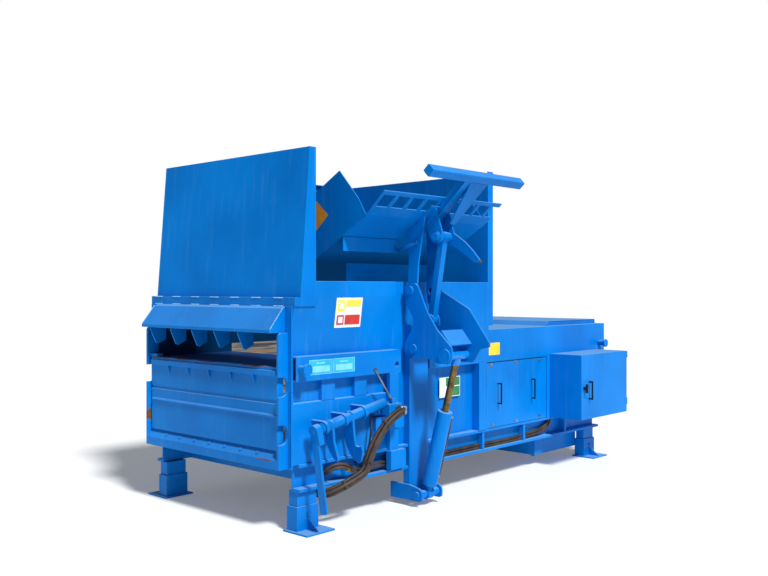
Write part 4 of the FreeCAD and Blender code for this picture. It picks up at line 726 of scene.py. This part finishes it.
panelBolts = {
    "across": 0.016,  # metres over the flats
    "face": -816,
    "places": ((2144, 968), (2864, 968), (2864, 480), (2172, 474), (2508, 968), (2508, 474)),
    # washer, hexagon head and its crown: radius and height over the flats, segments and taper
    "rings": ((0.95, 0.14, 20, 1.0), (0.577, 0.5, 6, 1.0), (0.5, 0.08, 12, 0.8)),
}


def makePanelBolts():
    for side, name in ((1, "near"), (-1, "far")):
        bm = bmesh.new()
        for x, z in panelBolts["places"]:
            base = machine(x, side * panelBolts["face"], z)
            addStack(bm, base, (0, -side, 0), panelBolts["across"], panelBolts["rings"])
        finishPiece(f"panel_bolts_{name}", bm, ("zincPlatedBolt",), "root")


makePanelBolts()
print("bolts made")

# welds

weld = {  # beads of a hand-run fillet
    "radius": 0.0042,  # metres
    "pitch": 0.009,
    "long": 1.25,  # over the radius, along the run
    "uneven": 0.16,
    "beat": 2.4,  # radians from bead to bead
}
stitch = {"x": -1, "long": 90, "starts": range(-700, 701, 230), "heights": (1482, 1536)}
uprightWeld = {"x": -12, "y": 800, "low": 452, "high": 1478}
hoodEdge = {"y": 735, "top": (-33, 1467), "low": (-137, 1338)}


def addWeld(bm, start, end):
    run = end - start
    count = max(2, round(run.length / weld["pitch"]))
    turn = run.to_track_quat("X", "Z").to_matrix().to_4x4()
    squash = Matrix.Diagonal((weld["long"], 1.0, 1.0, 1.0))
    for number in range(count + 1):
        spot = Matrix.Translation(start + run * number / count)
        size = weld["radius"] * (1 + weld["uneven"] * math.sin(number * weld["beat"]))
        bmesh.ops.create_icosphere(bm, subdivisions=1, radius=size, matrix=spot @ turn @ squash)
    for face in bm.faces:
        face.smooth = True


def makeWelds(name, lines, finish):
    bm = bmesh.new()
    for start, end in lines:
        addWeld(bm, machine(*start), machine(*end))
    finishPiece(name, bm, (finish,))


def makeAllWelds():
    stitches = [
        ((stitch["x"], y, z), (stitch["x"], y + stitch["long"], z))
        for y in stitch["starts"]
        for z in stitch["heights"]
    ]
    # the hood's beads are pale blue: a painted glint
    makeWelds("hood_stitches", stitches, "paintedGlintWeld")
    (topX, topZ), (lowX, lowZ) = hoodEdge["top"], hoodEdge["low"]
    edges = [((topX, y, topZ), (lowX, y, lowZ)) for y in (-hoodEdge["y"], hoodEdge["y"])]
    makeWelds("hood_edge_welds", edges, "paintedGlintWeld")
    x, low, high = uprightWeld["x"], uprightWeld["low"], uprightWeld["high"]
    uprights = [((x, y, low), (x, y, high)) for y in (-uprightWeld["y"], uprightWeld["y"])]
    makeWelds("upright_welds", uprights, "blue")


makeAllWelds()
print("welds made")

# hydraulic hoses, in millimetres

bundle = {  # four hoses from the valve down into the base
    "radius": 13,
    "pitch": 28,
    "tied": (4, 7, 10),  # a cable tie a little past each of these places
    "past": 0.25,
    "route": (
        (870, -936, 742),
        (870, -972, 742),
        (835, -1000, 738),
        (775, -1000, 722),
        (715, -985, 680),
        (660, -965, 612),
        (602, -950, 520),
        (566, -942, 440),
        (540, -930, 350),
        (470, -912, 314),
        (400, -893, 284),
        (335, -866, 255),
        (292, -822, 228),
        (275, -755, 218),
        (262, -694, 244),
        (258, -672, 330),
        (258, -672, 449),
    ),
}
thinHose = {
    "radius": 8,
    "route": (
        (690, -801, 735),
        (690, -850, 735),
        (672, -862, 640),
        (656, -868, 546),
        (640, -850, 440),
        (632, -800, 380),
        (630, -748, 380),
    ),
}
feedHoses = {
    "radius": 11,
    "second": (6, 24),  # sideways and up from the first
    "joint": 3,  # the place where the first has a brass joint
    "route": (
        (300, -762, 330),
        (330, -800, 372),
        (392, -838, 392),
        (452, -842, 372),
        (520, -822, 338),
        (640, -790, 318),
        (800, -786, 330),
        (960, -782, 322),
        (1118, -780, 320),
    ),
}
railHoses = {
    "radius": 13,
    "pitch": 27,
    "aside": 3,  # the upper one lies so far beside the lower
    "route": (
        (1331, -772, 316),
        (1700, -772, 308),
        (2043, -772, 316),
        (2400, -772, 306),
        (2640, -772, 318),
        (2900, -772, 330),
        (3020, -772, 352),
        (3080, -772, 392),
        (3092, -772, 429),
    ),
}
liftHose = {  # beside the lift cylinder, from its top port down to the low one
    "radius": 9,
    "x": 1225,
    "foot": (-908, 88),
    "head": (-1186, 1117),
    "barrel": 55,  # its radius, and its ports' distances from the foot pin
    "low": 125,
    "top": 585,
    "out": 9,  # the hose's ends stand off the barrel by this
    "bends": (  # how far beyond those ends, and the distance from the foot pin
        (0, 585),
        (16, 585),
        (30, 563),
        (36, 465),
        (28, 365),
        (34, 245),
        (28, 150),
        (16, 125),
        (0, 125),
    ),
    "seated": 2,  # the fittings reach so far over the hose's ends
    "boss": (0.013, 0.014, 20),  # a port's radius and length in metres, and its segments
    "sunk": 4,  # and how deep it sits in the barrel
}
# hexagon nut, neck and crimped sleeve: radius and length over the hose's radius, segments, taper
fitting = ((1.5, 1.3, 6, 1.0), (1.15, 0.5, 16, 1.0), (1.3, 2.6, 16, 0.94))
tie = {  # a cable tie, in metres
    "radius": 0.034,
    "wide": 0.007,
    "thick": 0.0016,
    "segments": 28,
    "block": (0.006, 0.009, 4),  # radius, length and sides
    "blockFrom": 0.0005,
}


def beside(route, sideways=0, up=0):  # a route kept so far beside another and above it
    places = [machine(*point) for point in route]
    side = Vector((1, 1, 0))
    moved = []
    for number, point in enumerate(places):
        behind = places[max(number - 1, 0)]
        ahead = places[min(number + 1, len(places) - 1)]
        along = (ahead - behind).normalized()
        side = (side - along * side.dot(along)).normalized()
        moved.append(point + (side * sideways + along.cross(side) * up) / 1000)
    return moved


def addHoses(bm, routes, radius):  # smooth tubes along the routes
    curve = bpy.data.curves.new("hoseCurve", "CURVE")
    curve.dimensions = "3D"
    curve.bevel_depth = radius / 1000
    curve.bevel_resolution = 4
    curve.use_fill_caps = True
    curve.resolution_u = 8
    for route in routes:
        spline = curve.splines.new("NURBS")
        spline.points.add(len(route) - 1)
        for point, place in zip(spline.points, route):
            point.co = (*place, 1)
        spline.order_u = 3
        spline.use_endpoint_u = True
    guide = bpy.data.objects.new("hoseGuide", curve)
    mesh = bpy.data.meshes.new_from_object(guide)
    bm.from_mesh(mesh)
    bpy.data.objects.remove(guide)
    bpy.data.meshes.remove(mesh)
    for face in bm.faces:
        face.smooth = True


def addTie(bm, centre, along, number):  # a cable tie's band and its block
    turn = standing(centre, along)
    made = bmesh.ops.create_circle(bm, segments=tie["segments"], radius=tie["radius"], matrix=turn)
    edges = list({edge for vert in made["verts"] for edge in vert.link_edges})
    band = bmesh.ops.extrude_edge_only(bm, edges=edges)
    moved = [item for item in band["geom"] if isinstance(item, bmesh.types.BMVert)]
    bmesh.ops.translate(bm, verts=moved, vec=Vector(along).normalized() * tie["wide"])
    faces = [item for item in band["geom"] if isinstance(item, bmesh.types.BMFace)]
    shell = bmesh.ops.solidify(bm, geom=faces, thickness=tie["thick"])
    for face in shell["geom"]:
        if isinstance(face, bmesh.types.BMFace):
            face.material_index = number
    base = turn @ Vector((tie["radius"], 0, tie["blockFrom"]))
    addRing(bm, base, along, *tie["block"], number)


def makeBundle():
    bm = bmesh.new()
    half = bundle["pitch"] / 2
    lanes = ((-half, -half), (half, -half), (-half, half), (half, half))
    routes = [beside(bundle["route"], *lane) for lane in lanes]
    thin, feed = beside(thinHose["route"]), beside(feedHoses["route"])
    addHoses(bm, routes, bundle["radius"])
    addHoses(bm, [thin], thinHose["radius"])
    addHoses(bm, [feed, beside(feedHoses["route"], *feedHoses["second"])], feedHoses["radius"])
    for route in routes:
        addStack(bm, route[0], route[1] - route[0], bundle["radius"] / 1000, fitting, 1)
    addStack(bm, thin[0], thin[1] - thin[0], thinHose["radius"] / 1000, fitting, 1)
    base, ahead = feed[feedHoses["joint"]], feed[feedHoses["joint"] + 1]
    addStack(bm, base, ahead - base, feedHoses["radius"] / 1000, fitting, 2)
    middle = beside(bundle["route"])
    for number in bundle["tied"]:
        behind, here, ahead = middle[number - 1 : number + 2]
        addTie(bm, here.lerp(ahead, bundle["past"]), ahead - behind, 3)
    finish = ("hydraulicHose", "zincPlatedBolt", "turnedBrass", "blackCableTie")
    finishPiece("valve_hose_bundle", bm, finish, "root")


def makeRailHoses():
    bm = bmesh.new()
    half = railHoses["pitch"] / 2
    lanes = ((0, -half), (railHoses["aside"], half))
    addHoses(bm, [beside(railHoses["route"], *lane) for lane in lanes], railHoses["radius"])
    finishPiece("rail_hose_pair", bm, ("hydraulicHose",), "root")


def byLift(beyond, distance):  # a place out from the lift cylinder's axis and up from its foot pin
    footY, footZ = liftHose["foot"]
    headY, headZ = liftHose["head"]
    share = distance / math.hypot(headY - footY, headZ - footZ)
    y, z = footY + (headY - footY) * share, footZ + (headZ - footZ) * share
    return machine(liftHose["x"] + beyond, y, z)


def makeLiftHose():
    bm = bmesh.new()
    barrel = liftHose["barrel"]
    face = barrel + liftHose["out"]
    route = [byLift(face + beyond, distance) for beyond, distance in liftHose["bends"]]
    addHoses(bm, [route], liftHose["radius"])
    for end in ("top", "low"):
        base = byLift(barrel - liftHose["sunk"], liftHose[end])
        addRing(bm, base, (1, 0, 0), *liftHose["boss"], 1)
        base = byLift(face - liftHose["seated"], liftHose[end])
        addStack(bm, base, (1, 0, 0), liftHose["radius"] / 1000, fitting, 2)
    finish = ("hydraulicHose", "blue", "zincPlatedBolt")
    finishPiece("lift_cylinder_hose", bm, finish, "lift_barrel")


makeBundle()
makeRailHoses()
makeLiftHose()
print("hoses made")

# plates that the slot under the hood shows, and the hatch lid's sides

roof = {"low": (14, -733, 1073), "high": (700, 733, 1084), "belly": 4, "cuts": 5}
gussets = {
    "places": (628, 370, 112, -146, -404),
    "thick": 10,
    "edge": 1,
    "points": ((0, 1312), (-124, 1312), (-138, 1302), (-88, 1194), (-66, 1186), (0, 1216)),
}
hatchSides = {
    "places": {"near": -736, "far": 730},
    "thick": 6,
    "edge": 1,
    "points": ((3098, 1261), (3152, 1297), (3952, 1297), (3952, 1261)),
}


def makeChamberRoof():  # holds the bale down behind the door; slightly bellied from pressing
    low, high = machine(*roof["low"]), machine(*roof["high"])
    bm = bmesh.new()
    size = Matrix.Diagonal((*(high - low), 1))
    bmesh.ops.create_cube(bm, size=1, matrix=Matrix.Translation((low + high) / 2) @ size)
    bmesh.ops.subdivide_edges(bm, edges=list(bm.edges), cuts=roof["cuts"], use_grid_fill=True)
    for vert in bm.verts:
        across = math.cos(math.pi * (vert.co.y - middleY) / (high.y - low.y))
        along = math.sin(math.pi * (vert.co.x - low.x) / (high.x - low.x))
        vert.co.z += roof["belly"] / 1000 * across * along
    # its dark blue is a painted shade
    finishPiece("chamber_roof", bm, ("shadedRoofEnamel",))


def makeUprightPlate(name, plate, y):
    bm = bmesh.new()
    addPlate(bm, [machine(x, y, z) for x, z in plate["points"]], plate["thick"], (0, 1, 0))
    breakEdges(bm, plate["edge"])
    finishPiece(name, bm, ("blue",))


makeChamberRoof()
for number, y in enumerate(gussets["places"], start=1):
    makeUprightPlate(f"hood_gusset_{number}", gussets, y)
for name, y in hatchSides["places"].items():
    makeUprightPlate(f"hatch_side_{name}", hatchSides, y)
print("slot and hatch plates made")

# the lock shaft, a stout tube on a bar, with its two claws

shaft = {
    "start": (109, -900, 674),
    "rise": 10.5,  # degrees
    "tubes": ((-40, 660, 20), (24, 660, 35)),  # from, to and radius
    "thick": 20,
    "edge": 2,
    # each claw's station on the shaft and its outline about the axis
    "claws": (
        (318, (
            (36, 30), (20, 40), (-20, 40), (-36, 30), (-27, -60), (-22, -150), (-26, -196),
            (-52, -202), (-78, -192), (-86, -222), (-76, -264), (-56, -300), (-34, -320),
            (-2, -306), (34, -266), (62, -206), (72, -146), (62, -70),
        )),
        (130, (
            (32, 26), (16, 34), (-16, 34), (-32, 26), (-26, -50), (-22, -120), (-34, -180),
            (-40, -236), (-26, -250), (2, -226), (30, -180), (48, -124), (50, -60),
        )),
    ),
}


def byShaft(station, y=0, z=0):  # a place so far along the shaft, off its axis by y and z
    startX, startY, startZ = shaft["start"]
    rise = math.radians(shaft["rise"])
    x = station * math.cos(rise) - z * math.sin(rise)
    height = station * math.sin(rise) + z * math.cos(rise)
    return machine(startX + x, startY + y, startZ + height)


def makeLockShaft():
    bm = bmesh.new()
    along = (byShaft(1) - byShaft(0)).normalized()
    for station, outline in shaft["claws"]:
        corners = [byShaft(station - shaft["thick"] / 2, y, z) for y, z in outline]
        addPlate(bm, corners, shaft["thick"], along)
    breakEdges(bm, shaft["edge"])
    for start, end, radius in shaft["tubes"]:
        addRing(bm, byShaft(start), along, radius / 1000, (end - start) / 1000, 40)
    piece = finishPiece("lock_shaft_welded", bm, ("scuffed",), "lock_shaft")
    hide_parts("lock_shaft")


makeLockShaft()
print("lock shaft made")

# the tipping frame's horn, brace and stem web

horn = {
    "x": 1284.5,
    "thick": 16,
    "edge": 1.5,
    "points": (
        (-1010, 2010), (-1071, 2027), (-1113, 1994), (-1206, 1934), (-1280, 1867), (-1350, 1788),
        (-1345, 1779), (-1290, 1782), (-1194, 1851), (-1075, 1922), (-1010, 1940),
    ),
}
stemWeb = {  # stiffens the cross bar's stem
    "points": ((1262, -1284, 2350), (1458, -1284, 2350), (1304, -1104, 2062), (1250, -1104, 2062)),
    "thick": 12,
    "edge": 1.5,
}
brace = {
    "start": (1097, -714, 1872),
    "end": (1097, -922, 1935),
    "radius": 12,
    "nut": (1.5, 0.06),  # radius and length, over the brace's own
}


def makeHorn():
    bm = bmesh.new()
    corners = [machine(horn["x"], y, z) for y, z in horn["points"]]
    addPlate(bm, corners, horn["thick"], (1, 0, 0))
    breakEdges(bm, horn["edge"])
    finishPiece("frame_horn", bm, ("horn",), "tipping_frame")


def makeBrace():
    bm = bmesh.new()
    start = machine(*brace["start"])
    along = machine(*brace["end"]) - start
    radius = brace["radius"] / 1000
    wider, share = brace["nut"]
    addRing(bm, start, along, radius, along.length, 20)
    for base in (start, start + along * (1 - share)):
        addRing(bm, base, along, radius * wider, along.length * share, 6)
    # the scuffed enamel's wide pale edges give the brace its bright upper line, a painted highlight
    finishPiece("frame_brace", bm, ("scuffed",), "tipping_frame")


def makeStemWeb():
    bm = bmesh.new()
    addPlate(bm, [machine(*point) for point in stemWeb["points"]], stemWeb["thick"])
    breakEdges(bm, stemWeb["edge"])
    finishPiece("stem_web", bm, ("blue",), "tipping_frame")


makeHorn()
makeBrace()
makeStemWeb()
print("horn, brace and stem web made")
